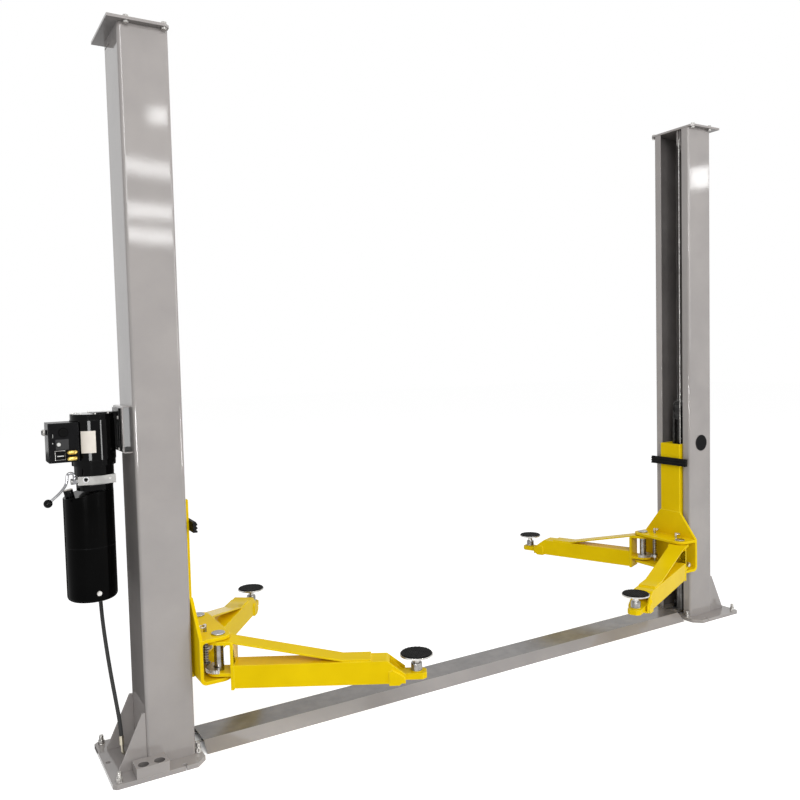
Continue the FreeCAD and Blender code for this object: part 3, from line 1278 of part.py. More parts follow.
def hose():
    """Hydraulic hose from the pump block down to the column's foot."""
    route, radii = cord_route(HOSE_POINTS)
    held = DOC.addObject("Part::Feature", "Hose")
    held.Shape = sweep(route, SIZE["hose_radius"])
    length = sum(piece.length() for piece in route)
    area = math.pi * SIZE["hose_radius"] ** 2
    print("hose length", round(length), "radii", radii,
          "volume share", round(held.Shape.Volume / (area * length), 4))
    return held


def hose_fittings():
    """Elbow and ferrule at the pump, ferrule and bent tube at the column."""
    start = FreeCAD.Vector(*HOSE_POINTS[0])
    middle = "(block_low + pump_flange_low) / 2"
    pump_end = join([
        rod("ferrule_radius", f"{start.y} - block_width / 2", start.x, "block_width / 2", middle, "Y"),
        rod("ferrule_radius", f"{middle} + ferrule_radius - {start.z}", start.x, start.y, start.z),
    ])
    last = FreeCAD.Vector(*HOSE_POINTS[-1])
    route, radii = cord_route(ELBOW_POINTS)
    held = DOC.addObject("Part::Feature", "Elbow")
    elbow = sweep(route, SIZE["hose_radius"] - SIZE["elbow_thinner"])
    first = FreeCAD.Vector(*ELBOW_POINTS[0])
    ferrule = Part.makeCylinder(SIZE["ferrule_radius"], (first - last).Length, last, first - last)
    held.Shape = elbow.fuse(ferrule)
    return group([pump_end, held])


def release_lever():
    """Bent wire handle of the release valve with its ball."""
    x = SIZE["motor_from_face"] + SIZE["block_length"] / 2 + SIZE["bay_clear"] / 2
    x = -(x + SIZE["column_depth"])
    y = -SIZE["lever_forward"]
    z = (SIZE["block_low"] + SIZE["pump_flange_low"]) / 2
    hub_x = x - SIZE["lever_hub_out"]
    high = z + SIZE["lever_rise"]
    crown = hub_x - SIZE["lever_crown"]
    points = [(hub_x, y, z), (hub_x - SIZE["lever_rise_lean"], y, high), (crown, y, high),
              (crown - SIZE["lever_fall_lean"], y, z - SIZE["lever_knee_drop"]),
              (x - SIZE["lever_mid_out"], y, z - SIZE["lever_mid_drop"]),
              (x - SIZE["lever_end_out"], y, z - SIZE["lever_end_drop"])]
    route, radii = cord_route(points)
    held = DOC.addObject("Part::Feature", "Handle")
    end = FreeCAD.Vector(*points[-1])
    ball = Part.makeSphere(SIZE["lever_ball"], end, FreeCAD.Vector(0, 1, 0))
    width = SIZE["lever_hub_width"]
    hub = Part.makeCylinder(SIZE["lever_hub_radius"], width, FreeCAD.Vector(hub_x, y - width / 2, z),
                            FreeCAD.Vector(0, 1, 0))
    held.Shape = sweep(route, SIZE["lever_wire"]).fuse(ball).fuse(hub)
    return held


# Nodes, in the order that they are written
def all_nodes():
    """Build every node and return it under its name."""
    nodes = {
        "left_column": column("left"), "right_column": column("right"),
        "column_plugs": column_plugs(), "base_plates": base_plates(),
        "anchor_bolts": anchor_bolts(), "column_gussets": gussets(),
        "adapter_racks": adapter_racks(), "top_plates": top_plates(), "top_bolts": top_bolts(),
        "floor_cover": floor_cover(), "lift_cylinders": cylinders(), "lift_cables": lift_cables(),
        "top_pulleys": top_pulleys(), "floor_pulleys": floor_pulleys(),
        "pump_bracket": pump_bracket(), "motor": motor(), "pump_block": pump_block(),
        "oil_tank": oil_tank(), "filler_cap": filler_cap(), "switch_box": switch_box(),
        "hydraulic_hose": hose(), "hose_fittings": hose_fittings(),
        "release_lever": release_lever(),
    }
    for side in ("left", "right"):
        nodes[f"{side}_carriage"] = carriage(side)
        nodes[f"{side}_sliders"] = sliders(side)
        nodes[f"{side}_bumper"] = bumper(side)
        nodes[f"{side}_arm_pins"] = arm_pins(side)
        nodes[f"{side}_lift_rod"] = lift_rod(side)
        nodes[f"{side}_chain"] = chain(side)
    for place in PLACES:
        nodes[f"{place.name}_arm"] = arm(place)
        nodes[f"{place.name}_gear"] = arm_gear(place)
        nodes[f"{place.name}_extension"] = extension(place)
        nodes[f"{place.name}_pad_screw"] = pad_screw(place)
        nodes[f"{place.name}_pad_rubber"] = pad_rubber(place)
        nodes[f"{place.name}_restraint"] = restraint(place)
    return nodes


def main():
    """Build the lift, check it and write one file for each node."""
    nodes = all_nodes()
    for name, thing in nodes.items():
        thing.Label = name
    DOC.recompute()
    faults = [f"{thing.Name} {thing.State}" for thing in DOC.Objects
              if "Invalid" in thing.State or "Error" in thing.State]
    faults += [name for name, thing in nodes.items()
               if thing.Shape.isNull() or not thing.Shape.isValid() or not thing.Shape.Solids]
    if faults:
        raise RuntimeError("not built: " + ", ".join(faults))
    os.makedirs("parts", exist_ok=True)
    for name, thing in nodes.items():
        thing.Shape.exportStep(f"parts/{name}.step")
    print(len(nodes), "nodes written")


main()
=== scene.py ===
"""Dresses the two post car lift. Metres, +Z up, in the same frame as the CAD model."""

import logging
import math
import sys
from collections.abc import Iterable, Sequence
from dataclasses import dataclass
from enum import Enum

import bmesh
import bpy
from mathutils import Matrix, Quaternion, Vector


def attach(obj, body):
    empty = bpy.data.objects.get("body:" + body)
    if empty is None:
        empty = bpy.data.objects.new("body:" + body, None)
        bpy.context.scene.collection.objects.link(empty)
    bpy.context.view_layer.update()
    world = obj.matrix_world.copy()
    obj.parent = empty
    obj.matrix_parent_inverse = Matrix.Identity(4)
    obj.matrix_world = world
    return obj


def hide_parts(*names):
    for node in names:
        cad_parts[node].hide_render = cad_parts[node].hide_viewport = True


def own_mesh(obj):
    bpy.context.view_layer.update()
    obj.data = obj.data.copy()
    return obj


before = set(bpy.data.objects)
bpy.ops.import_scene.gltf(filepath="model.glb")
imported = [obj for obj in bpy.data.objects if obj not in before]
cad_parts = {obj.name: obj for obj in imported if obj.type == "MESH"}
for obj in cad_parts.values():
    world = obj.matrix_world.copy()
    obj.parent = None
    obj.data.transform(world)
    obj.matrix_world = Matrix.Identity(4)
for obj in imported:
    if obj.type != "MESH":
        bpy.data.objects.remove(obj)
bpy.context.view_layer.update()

Colour = tuple[float, float, float]
Point = tuple[float, float, float]
Span = tuple[float, float]
Profile = Sequence[tuple[float, float]]
Socket = bpy.types.NodeSocket
Mesh = bpy.types.Mesh
Face = bpy.types.MeshPolygon
Piece = bpy.types.Object
FAR = math.inf
log = logging.getLogger("car_lift")


# Named choices


class Side(Enum):
    """The two columns: the pump side one and the far one, half a turn about Z away."""

    LEFT = 1.0
    RIGHT = -1.0

    @property
    def word(self) -> str:
        """Name of the side as the nodes have it."""
        return self.name.lower()

    def place(self, x: float, y: float, z: float) -> Point:
        """Bring a point of the pump side to this side.

        Args:
            x: Place along the bay on the pump side.
            y: Place across the bay on the pump side.
            z: Height above the floor.

        Returns:
            The same point on this side.
        """
        return (self.value * x, self.value * y, z)


class Arm(Enum):
    """The four arms: the side each hangs on and the way it points, in degrees from +X."""

    FRONT_LEFT = (Side.LEFT, -29.75)
    BACK_LEFT = (Side.LEFT, 53.0)
    FRONT_RIGHT = (Side.RIGHT, 205.0)
    BACK_RIGHT = (Side.RIGHT, 113.0)

    @property
    def word(self) -> str:
        """Name of the arm as the nodes have it."""
        return self.name.lower()

    @property
    def side(self) -> Side:
        """The side that the arm hangs on."""
        return self.value[0]

    @property
    def front(self) -> bool:
        """Whether the arm reaches to the front."""
        return self.name.startswith("FRONT")

    def mount(self, x: float, y: float) -> tuple[float, float]:
        """Give the place on this arm's side and end of the lift.

        Args:
            x: Distance from the lift's middle along the bay.
            y: Distance from the lift's middle across the bay.

        Returns:
            The place along and across the bay.
        """
        return (-self.side.value * x, -y if self.front else y)


class Grain(Enum):
    """The fine relief of a surface."""

    PEEL = "orange peel of a powder coat"
    BRUSHED = "lines along one direction"
    PEBBLE = "moulded pebbles"


class Axis(Enum):
    """The axis that a turned piece is turned about."""

    X = "along the bay"
    Y = "across the bay"
    Z = "upright"


# Finishes


PATCH_EDGES = (0.35, 0.65)
CHIP_SCALE = 420.0
CHIP_LEVEL = 0.72
CHIP_SOFTNESS = 0.03
GLOSS_SCALE = 30.0
BRUSH_STRETCH = 0.06


@dataclass(frozen=True)
class Finish:
    """Look of one surface: two colours in patches, relief, gloss and wear."""

    name: str
    slot: str
    colour: Colour
    shade: Colour
    roughness: Span = (0.3, 0.4)
    grain_scale: float = 260.0
    grain_depth: float = 0.0002
    patch_scale: float = 5.0
    metallic: float = 0.0
    specular: float = 0.5
    grain: Grain = Grain.PEEL
    chips: float = 0.0
    bare: Colour = (0.45, 0.43, 0.40)

    def material(self) -> bpy.types.Material:
        """Build the finish's material, or give the one that was built before.

        Returns:
            The node based material.
        """
        found = bpy.data.materials.get(self.name)
        if found:
            return found
        material = bpy.data.materials.new(self.name)
        material.use_nodes = True
        wiring = Wiring(material.node_tree)
        place = wiring.add("ShaderNodeTexCoord").outputs["Object"]
        patches = wiring.noise(place, self.patch_scale, 5.0)
        colour = wiring.mix(wiring.spread(patches, *PATCH_EDGES), self.colour, self.shade)
        if self.chips > 0.0:
            low = CHIP_LEVEL - self.chips
            spots = wiring.spread(wiring.noise(place, CHIP_SCALE, 3.0), low, low + CHIP_SOFTNESS)
            colour = wiring.mix(spots, colour, self.bare)
        bump = wiring.add("ShaderNodeBump", Strength=1.0, Distance=self.grain_depth,
                          Height=self.relief(wiring, place))
        gloss = wiring.add("ShaderNodeMapRange", Value=wiring.noise(place, GLOSS_SCALE, 4.0),
                           To_Min=self.roughness[0], To_Max=self.roughness[1])
        wiring.set(material.node_tree.nodes["Principled BSDF"], Base_Color=colour,
                   Roughness=gloss.outputs["Result"], Normal=bump.outputs["Normal"],
                   Metallic=self.metallic, Specular_IOR_Level=self.specular)
        material.diffuse_color = (*self.colour, 1.0)
        return material

    def relief(self, wiring: "Wiring", place: Socket) -> Socket:
        """Build the height of the surface's fine relief.

        Args:
            wiring: The material's node tree.
            place: The coordinates that the relief reads.

        Returns:
            The socket that carries the height.
        """
        if self.grain is Grain.BRUSHED:
            stretched = wiring.add("ShaderNodeMapping", Vector=place, Scale=(1.0, 1.0, BRUSH_STRETCH))
            return wiring.noise(stretched.outputs["Vector"], self.grain_scale, 6.0)
        if self.grain is Grain.PEBBLE:
            cells = wiring.add("ShaderNodeTexVoronoi", Vector=place, Scale=self.grain_scale)
            return cells.outputs["Distance"]
        return wiring.noise(place, self.grain_scale, 2.0)


@dataclass(frozen=True)
class Metal(Finish):
    """A bare or plated metal with fine lines along its height."""

    metallic: float = 1.0
    grain: Grain = Grain.BRUSHED


@dataclass(frozen=True)
class Moulded(Finish):
    """A moulded plastic or rubber with a pebbled skin."""

    grain: Grain = Grain.PEBBLE


# Each finish has its colours, roughness, scale and depth of its grain, and scale of its patches

GREY = Finish("grey_powder_coat", "grey_paint", (0.385, 0.358, 0.345), (0.345, 0.322, 0.312),
              (0.035, 0.06), 190.0, 0.00006)
# Lighter grey with chips on the rounded edges: real wear, and a painted highlight along the edges.
GREY_EDGE_WEAR_HIGHLIGHT = Finish("grey_powder_coat_edge", "grey_paint", (0.45, 0.425, 0.41), (0.40, 0.375, 0.36),
                   (0.08, 0.16), 190.0, 0.00004, chips=0.06)
# Darker grey on faces inside the columns and rack pockets and under the top plates: painted shade.
GREY_PAINTED_SHADE = Finish("grey_powder_coat_inside", "grey_paint", (0.20, 0.186, 0.180),
                     (0.16, 0.149, 0.144), (0.2, 0.3), 170.0, 0.00008, specular=0.2)
# Near black on faces under the floor cover and inside the pump bracket: painted deep shade. The
# studio card carries it as a dark sheet that paints a dark reflection.
PAINTED_DEEP_SHADE = Finish("grey_powder_coat_hollow", "grey_paint", (0.012, 0.012, 0.012),
                     (0.02, 0.019, 0.018), (0.3, 0.5), specular=0.1)
# Darker grey on the floor cover's top faces: a painted dark reflection, mottled in patches.
COVER_TOP_PAINTED_REFLECTION = Finish("grey_cover_coat", "grey_paint", (0.150, 0.140, 0.134), (0.205, 0.190, 0.182),
                   (0.12, 0.22), 120.0, 0.0003, 14.0)
YELLOW = Finish("yellow_powder_coat", "yellow_paint", (0.92, 0.655, 0.004), (0.85, 0.59, 0.003),
                (0.12, 0.2), 200.0, 0.00006, specular=0.015)
# Lighter yellow with chips on the rounded edges: real wear, and a painted highlight along the edges.
YELLOW_EDGE_WEAR_HIGHLIGHT = Finish("yellow_powder_coat_edge", "yellow_paint", (0.95, 0.73, 0.020),
                     (0.89, 0.66, 0.014), (0.14, 0.24), grain_depth=0.00005, specular=0.04,
                     chips=0.05, bare=(0.42, 0.33, 0.12))
ZINC = Metal("zinc_plate", "zinc", (0.62, 0.61, 0.59), (0.40, 0.385, 0.365), (0.2, 0.42), 700.0,
             0.00005, 40.0)
FITTING = Metal("dull_brass_plate", "zinc", (0.52, 0.48, 0.38), (0.34, 0.31, 0.25), (0.25, 0.4),
                600.0, 0.00003, 50.0)
# Steel darker than bare metal: a painted dark reflection, used on pin heads, pad sleeves and their
# jackets.
STEEL_PAINTED_DARK = Metal("turned_steel", "zinc", (0.34, 0.33, 0.32), (0.22, 0.215, 0.21), (0.2, 0.35),
                 600.0, 0.00004, 35.0)
BRASS = Metal("brass", "zinc", (0.62, 0.46, 0.13), (0.40, 0.28, 0.07), (0.2, 0.35), 600.0, 0.00003,
              60.0)
STEEL = Metal("oiled_steel", "dark_steel", (0.20, 0.195, 0.19), (0.10, 0.097, 0.095), (0.3, 0.5),
              500.0, 0.0001, 30.0)
# Near black oily steel: the tone of oiled parts, and on the lift rods and floor pulleys also painted
# shade, darker than their bare metal.
OILY_STEEL_AND_SHADE = Metal("oily_black_steel", "dark_steel", (0.045, 0.044, 0.043), (0.02, 0.0195, 0.019),
                   (0.2, 0.4), 500.0, 0.0001, 40.0, metallic=0.8)
ROPE = Metal("bright_wire_rope", "dark_steel", (0.50, 0.49, 0.47), (0.28, 0.27, 0.26), (0.3, 0.45),
             900.0, 0.0001, 60.0)
CHROME = Metal("chrome_plate", "chrome", (0.75, 0.75, 0.75), (0.68, 0.68, 0.69), (0.06, 0.14),
               900.0, 0.00002)
# Chrome darkened in its colour: a painted dark reflection, so the release lever stands out against
# the white.
CHROME_PAINTED_DARK = Metal("dark_chrome", "chrome", (0.36, 0.36, 0.37), (0.24, 0.24, 0.25), (0.08, 0.16), 900.0,
              0.00002)
ALLOY = Metal("machined_alloy", "alloy", (0.40, 0.395, 0.38), (0.30, 0.295, 0.285), (0.25, 0.4),
              600.0, 0.00008, 25.0, metallic=0.9)
BLACK_PAINT = Finish("black_gloss_paint", "black_paint", (0.0014, 0.0014, 0.0015),
                     (0.0024, 0.0024, 0.0026), (0.04, 0.08), 150.0, 0.00004, specular=0.10)
TANK = Finish("black_tank_plastic", "black_plastic", (0.0010, 0.0010, 0.0010),
              (0.0018, 0.0018, 0.0018), (0.12, 0.2), 90.0, 0.00008, 9.0, specular=0.03)
PLASTIC = Moulded("black_box_plastic", "black_plastic", (0.004, 0.004, 0.0045),
                  (0.007, 0.007, 0.0078), (0.2, 0.35), 900.0, 0.00005, specular=0.07)
PANEL = Moulded("grey_panel_plastic", "black_plastic", (0.035, 0.035, 0.037),
                (0.026, 0.026, 0.027), (0.4, 0.5), 900.0, 0.00005, specular=0.2)
WHITE_PLASTIC = Finish("white_plastic", "black_plastic", (0.78, 0.78, 0.76), (0.70, 0.70, 0.68),
                       grain_depth=0.00003)
PAPER = Finish("cream_label", "black_plastic", (0.83, 0.77, 0.68), (0.76, 0.70, 0.62), (0.45, 0.6),
               500.0, 0.00003, 18.0)
NYLON = Finish("black_nylon", "slider_nylon", (0.02, 0.02, 0.022), (0.035, 0.035, 0.037),
               (0.45, 0.6), grain_depth=0.0001)
RUBBER = Moulded("moulded_rubber", "black_rubber", (0.0035, 0.0035, 0.0035),
                 (0.009, 0.0088, 0.0085), (0.5, 0.7), 520.0, 0.0003, 22.0, specular=0.1)
HOSE = Moulded("hose_rubber", "hose_rubber", (0.004, 0.004, 0.004), (0.008, 0.008, 0.008),
               (0.35, 0.5), 900.0, 0.0001, 30.0, specular=0.15)


@dataclass(frozen=True)
class Patch:
    """Faces of a piece with a look of their own, picked by their centre and slope.

    The spans along x and y are distances from the middle of the lift, so that one patch picks
    the faces of both columns. The rise is how far a face's normal points up.
    """

    finish: Finish
    x: Span = (-FAR, FAR)
    y: Span = (-FAR, FAR)
    z: Span = (-FAR, FAR)
    rise: Span = (-FAR, FAR)
    centre: tuple[float, ...] = ()
    reach: float = FAR

    def holds(self, face: Face) -> bool:
        """Tell whether a face belongs to the patch.

        Args:
            face: A face of the piece.

        Returns:
            Whether it does. A centre of two values counts in plan, one of three in space.
        """
        x, y, z = face.center
        spans = zip((abs(x), abs(y), z, face.normal.z), (self.x, self.y, self.z, self.rise))
        away = math.dist((x, y, z)[:len(self.centre)], self.centre)
        return all(low < value < high for value, (low, high) in spans) and away < self.reach


# Node trees


class Wiring:
    """Adds nodes to a tree and joins them, for materials and for Geometry Nodes."""

    def __init__(self, tree: bpy.types.NodeTree) -> None:
        """Keep the tree.

        Args:
            tree: The tree to add to.
        """
        self.tree = tree

    def add(self, kind: str, settings: dict[str, object] | None = None,
            **inputs: object) -> bpy.types.Node:
        """Add a node.

        Args:
            kind: The node's type.
            settings: Values of the node's own properties.
            inputs: Values or sockets for its inputs, underscores standing for spaces.

        Returns:
            The new node.
        """
        node = self.tree.nodes.new(kind)
        for name, value in (settings or {}).items():
            setattr(node, name, value)
        self.set(node, **inputs)
        return node

    def set(self, node: bpy.types.Node, **inputs: object) -> None:
        """Feed a node's inputs by name, underscores standing for spaces."""
        for name, value in inputs.items():
            self.feed(value, node.inputs[name.replace("_", " ")])

    def feed(self, value: object, socket: Socket) -> None:
        """Give an input a value, or join it to another node's output.

        Args:
            value: The value, or the output's socket.
            socket: The input.
        """
        if isinstance(value, Socket):
            self.tree.links.new(value, socket)
        elif isinstance(value, tuple) and socket.type == "RGBA":
            socket.default_value = (*value, 1.0)
        else:
            socket.default_value = value

    def noise(self, place: Socket, scale: float, detail: float) -> Socket:
        """Add a noise and give its height."""
        return self.add("ShaderNodeTexNoise", Vector=place, Scale=scale,
                        Detail=detail).outputs["Fac"]

    def spread(self, value: Socket, low: float, high: float) -> Socket:
        """Stretch a value from low and high to the whole of 0 and 1."""
        return self.add("ShaderNodeMapRange", Value=value, From_Min=low,
                        From_Max=high).outputs["Result"]

    def mix(self, share: Socket, first: object, second: object) -> Socket:
        """Mix two colours.

        Args:
            share: How much of the second colour shows.
            first: Colour or socket.
            second: Colour or socket.

        Returns:
            The mixed colour's socket.
        """
        node = self.add("ShaderNodeMix", {"data_type": "RGBA"})
        for number, value in ((0, share), (6, first), (7, second)):
            self.feed(value, node.inputs[number])
        return node.outputs[2]

    def maths(self, operation: str, first: object, second: object) -> Socket:
        """Reckon with two values.

        Args:
            operation: What is done with them.
            first: Value or socket.
            second: Value or socket.

        Returns:
            The result's socket.
        """
        node = self.add("ShaderNodeMath", {"operation": operation})
        self.feed(first, node.inputs[0])
        self.feed(second, node.inputs[1])
        return node.outputs[0]


class Recipe:
    """A Geometry Nodes tree that turns a carrier mesh into a repeated or swept piece."""

    def __init__(self, name: str, sizes: dict[str, float]) -> None:
        """Start the tree with its named inputs.

        Args:
            name: Name of the piece that it makes.
            sizes: Its inputs, whole numbers for counts.
        """
        self.name = name
        self.tree = bpy.data.node_groups.new(name, "GeometryNodeTree")
        self.sizes = sizes
        self.wiring = Wiring(self.tree)
        self.sockets: dict[str, str] = {}
        panel = self.tree.interface
        panel.new_socket("Carrier", in_out="INPUT", socket_type="NodeSocketGeometry")
        for label, value in sizes.items():
            kind = "NodeSocketInt" if isinstance(value, int) else "NodeSocketFloat"
            socket = panel.new_socket(label, in_out="INPUT", socket_type=kind)
            self.sockets[label] = socket.identifier
        panel.new_socket("Result", in_out="OUTPUT", socket_type="NodeSocketGeometry")
        self.entry = self.wiring.add("NodeGroupInput").outputs

    def node(self, kind: str, settings: dict[str, object] | None = None,
             **inputs: object) -> Socket:
        """Add one of the Geometry Nodes and give its first output."""
        return self.wiring.add("GeometryNode" + kind, settings, **inputs).outputs[0]

    def scatter(self, points: Socket, thing: Socket, **inputs: object) -> Socket:
        """Set a copy of a thing on each point."""
        return self.node("InstanceOnPoints", Points=points, Instance=thing, **inputs)

    def merged(self, parts: Sequence[Socket]) -> Socket:
        """Join geometries, in their order.

        Args:
            parts: The geometries.

        Returns:
            All of them as one.
        """
        joint = self.wiring.add("GeometryNodeJoinGeometry")
        for part in parts:
            self.wiring.feed(part, joint.inputs[0])
        return joint.outputs[0]

    def make(self, geometry: Socket, carrier: Mesh, finish: Finish, body: str, smooth: bool,
             stands_for: Iterable[str] = ()) -> Piece:
        """End the tree, run it on a carrier and keep the result as a plain mesh.

        Args:
            geometry: What the tree has made.
            carrier: Points or lines that the tree works on.
            finish: Look of the piece.
            body: The CAD body that carries it.
            smooth: Whether its faces are shaded smoothly.
            stands_for: CAD nodes that it replaces.

        Returns:
            The new piece.
        """
        real = self.node("RealizeInstances", Geometry=geometry)
        dressed = self.node("SetMaterial", Geometry=real, Material=finish.material())
        self.wiring.feed(dressed, self.wiring.add("NodeGroupOutput").inputs[0])
        bearer = new_object(self.name + "_carrier", carrier)
        modifier = bearer.modifiers.new("recipe", "NODES")
        modifier.node_group = self.tree
        for label, value in self.sizes.items():
            modifier[self.sockets[label]] = value
        mesh = evaluated_mesh(bearer)
        bearer.modifiers.remove(modifier)
        bpy.data.objects.remove(bearer)
        mesh.name = self.name
        mesh.polygons.foreach_set("use_smooth", [smooth] * len(mesh.polygons))
        return settle(new_object(self.name, mesh), body, finish, stands_for)


def coil(name: str, spots: Sequence[Point], sizes: dict[str, float], steps: int, sides: int,
         finish: Finish, body: str) -> Piece:
    """Wind a wire round an upright axis, once at each spot.

    Args:
        name: Name of the piece.
        spots: Foot of each axis.
        sizes: Turns, Radius and Height of the winding, and radius of its Wire.
        steps: Points in each turn.
        sides: Facets round the wire.
        finish: Its look.
        body: The CAD body that carries it.

    Returns:
        The piece.
    """
    recipe = Recipe(name, sizes)
    entry = recipe.entry
    helix = recipe.node("CurveSpiral", Resolution=steps, Rotations=entry["Turns"],
                        Start_Radius=entry["Radius"], End_Radius=entry["Radius"],
                        Height=entry["Height"])
    section = recipe.node("CurvePrimitiveCircle", Resolution=sides, Radius=entry["Wire"])
    wire = recipe.node("CurveToMesh", Curve=helix, Profile_Curve=section)
    carrier = mesh_of(name + "_spots", spots)
    return recipe.make(recipe.scatter(entry["Carrier"], wire), carrier, finish, body, True)


# Meshes


MERGE_DISTANCE = 0.00002
FLAT_ANGLE = 0.6
SHARP_ANGLE = 32.0


def new_object(name: str, mesh: Mesh) -> Piece:
    """Put a mesh into the scene.

    Args:
        name: Name of the new object.
        mesh: The mesh.

    Returns:
        The object.
    """
    thing = bpy.data.objects.new(name, mesh)
    bpy.context.scene.collection.objects.link(thing)
    return thing


def evaluated_mesh(thing: Piece) -> Mesh:
    """Give a plain mesh of an object with its modifiers.

    Args:
        thing: The object.

    Returns:
        The mesh.
    """
    graph = bpy.context.evaluated_depsgraph_get()
    graph.update()
    return bpy.data.meshes.new_from_object(thing.evaluated_get(graph))


def mesh_of(name: str, corners: Sequence[Point], edges: Sequence[tuple[int, int]] = (),
            faces: Sequence[Sequence[int]] = ()) -> Mesh:
    """Make a mesh.

    Args:
        name: Name of the mesh.
        corners: Its points.
        edges: Pairs of points that an edge joins.
        faces: Points round each face.

    Returns:
        The mesh.
    """
    mesh = bpy.data.meshes.new(name)
    mesh.from_pydata(corners, edges, faces)
    mesh.update()
    return mesh


def line_mesh(name: str, points: Sequence[Point]) -> Mesh:
    """Make a mesh of one open line."""
    return mesh_of(name, points, [(i, i + 1) for i in range(len(points) - 1)])


def smoothed(mesh: Mesh) -> Mesh:
    """Shade all faces of a mesh smoothly."""
    mesh.polygons.foreach_set("use_smooth", [True] * len(mesh.polygons))
    return mesh


def outward(mesh: Mesh) -> Mesh:
    """Turn all faces of a closed mesh outwards.

    Args:
        mesh: The mesh, which is changed.

    Returns:
        The same mesh.
    """
    body = bmesh.new()
    body.from_mesh(mesh)
    bmesh.ops.recalc_face_normals(body, faces=body.faces)
    body.to_mesh(mesh)
    body.free()
    return mesh


def together(name: str, meshes: Iterable[Mesh]) -> Mesh:
    """Hold several meshes as one.

    Args:
        name: Name of the whole.
        meshes: Its parts, which are used up.

    Returns:
        The whole.
    """
    body = bmesh.new()
    for mesh in meshes:
        body.from_mesh(mesh)
        bpy.data.meshes.remove(mesh)
    whole = bpy.data.meshes.new(name)
    body.to_mesh(whole)
    body.free()
    return whole


def bands(rows: int, steps: int, closed: bool = True, ring: bool = False) -> list[tuple[int, ...]]:
    """Number the faces between rows of points.

    Args:
        rows: Number of rows.
        steps: Points in each row.
        closed: Whether each row runs all the way round.
        ring: Whether the last row joins the first.

    Returns:
        The corners of each face.
    """
    faces = []
    for row in range(rows if ring else rows - 1):
        near = row * steps
        far = (row + 1) % rows * steps
        for i in range(steps if closed else steps - 1):
            j = (i + 1) % steps
            faces.append((near + i, near + j, far + j, far + i))
    return faces


def ends(rows: int, steps: int) -> list[tuple[int, ...]]:
    """Number the corners of the first and the last row's end face."""
    return [tuple(range(steps))[::-1], tuple((rows - 1) * steps + i for i in range(steps))]


def arc(x: float, radius: float, start: float, sweep: float, steps: int, z: float) -> list[Point]:
    """Give the points of a level arc about an upright axis in the lift's middle plane.

    Args:
        x: Where the axis stands along the bay.
        radius: Radius of the arc.
        start: Angle of its first point, in degrees from +X.
        sweep: Angle from there to its last point.
        steps: Number of stretches.
        z: Height above the floor.

    Returns:
        The points in order.
    """
    angles = [math.radians(start + i * sweep / steps) for i in range(steps + 1)]
    return [(x + radius * math.cos(angle), radius * math.sin(angle), z) for angle in angles]


def revolved(name: str, profile: Profile, centre: Point, steps: int = 32, axis: Axis = Axis.Z,
             ring: bool = False) -> Mesh:
    """Turn a profile round an axis.

    Args:
        name: Name of the mesh.
        profile: Radius of each point and its place along the axis.
        centre: Where the axis starts.
        steps: Number of facets.
        axis: The axis.
        ring: Whether the profile's ends are joined, so that the axis stays free.

    Returns:
        The mesh, which is closed at both ends where it is no ring.
    """
    corners = []
    for radius, height in profile:
        for i in range(steps):
            angle = 2 * math.pi * i / steps
            u = radius * math.cos(angle)
            v = radius * math.sin(angle)
            spot = {Axis.Z: (u, v, height), Axis.Y: (v, height, u), Axis.X: (height, u, v)}[axis]
            corners.append(tuple(c + s for c, s in zip(centre, spot)))
    rows = len(profile)
    faces = bands(rows, steps, ring=ring) + ([] if ring else ends(rows, steps))
    return outward(mesh_of(name, corners, faces=faces))


def block_mesh(name: str, low: Point, high: Point) -> Mesh:
    """Make a block between two corners.

    Args:
        name: Name of the mesh.
        low: The corner with the lowest values.
        high: The corner with the highest values.

    Returns:
        The mesh.
    """
    corners = [(x, y, z) for x in (low[0], high[0]) for y in (low[1], high[1])
               for z in (low[2], high[2])]
    faces = [(0, 1, 3, 2), (4, 6, 7, 5), (0, 4, 5, 1), (2, 3, 7, 6), (0, 2, 6, 4), (1, 5, 7, 3)]
    return outward(mesh_of(name, corners, faces=faces))


def tidy_copy(node: str) -> Mesh:
    """Copy a CAD node's mesh, merged, with its flat faces whole.

    Args:
        node: Name of the CAD node.

    Returns:
        The clean mesh.
    """
    body = bmesh.new()
    body.from_mesh(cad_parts[node].data)
    bmesh.ops.remove_doubles(body, verts=body.verts, dist=MERGE_DISTANCE)
    bmesh.ops.dissolve_limit(body, angle_limit=math.radians(FLAT_ANGLE), verts=body.verts,
                             edges=body.edges)
    mesh = bpy.data.meshes.new(node + "_dressed")
    body.to_mesh(mesh)
    body.free()
    return mesh


def bevelled(name: str, mesh: Mesh, width: float, finish: Finish, edge: Finish | None = None,
             patches: Sequence[Patch] = ()) -> Piece:
    """Round the sharp edges of a mesh and dress it.

    Args:
        name: Name of the piece.
        mesh: The clean mesh.
        width: How wide each rounding is.
        finish: Look of the faces.
        edge: Look of the roundings, where it differs: a lighter finish, so the roundings show a
            painted highlight.
        patches: Looks of some of the faces.

    Returns:
        The piece with its roundings applied.
    """
    mesh.materials.clear()
    mesh.materials.append(finish.material())
    mesh.materials.append((edge or finish).material())
    rough = new_object(name, smoothed(mesh))
    rounding = rough.modifiers.new("rounding", "BEVEL")
    rounding.width = width
    rounding.segments = 2
    rounding.limit_method = "ANGLE"
    rounding.angle_limit = math.radians(SHARP_ANGLE)
    rounding.use_clamp_overlap = False
    # The roundings take the second, lighter finish: a painted highlight along the edges.
    rounding.material = 1
    shading = rough.modifiers.new("flat_faces_stay_flat", "WEIGHTED_NORMAL")
    shading.mode = "FACE_AREA"
    shading.weight = 100
    finished = evaluated_mesh(rough)
    bpy.data.objects.remove(rough)
    finished.name = name
    for patch in patches:
        finished.materials.append(patch.finish.material())
        for face in finished.polygons:
            if patch.holds(face):
                face.material_index = len(finished.materials) - 1
    return new_object(name, finished)


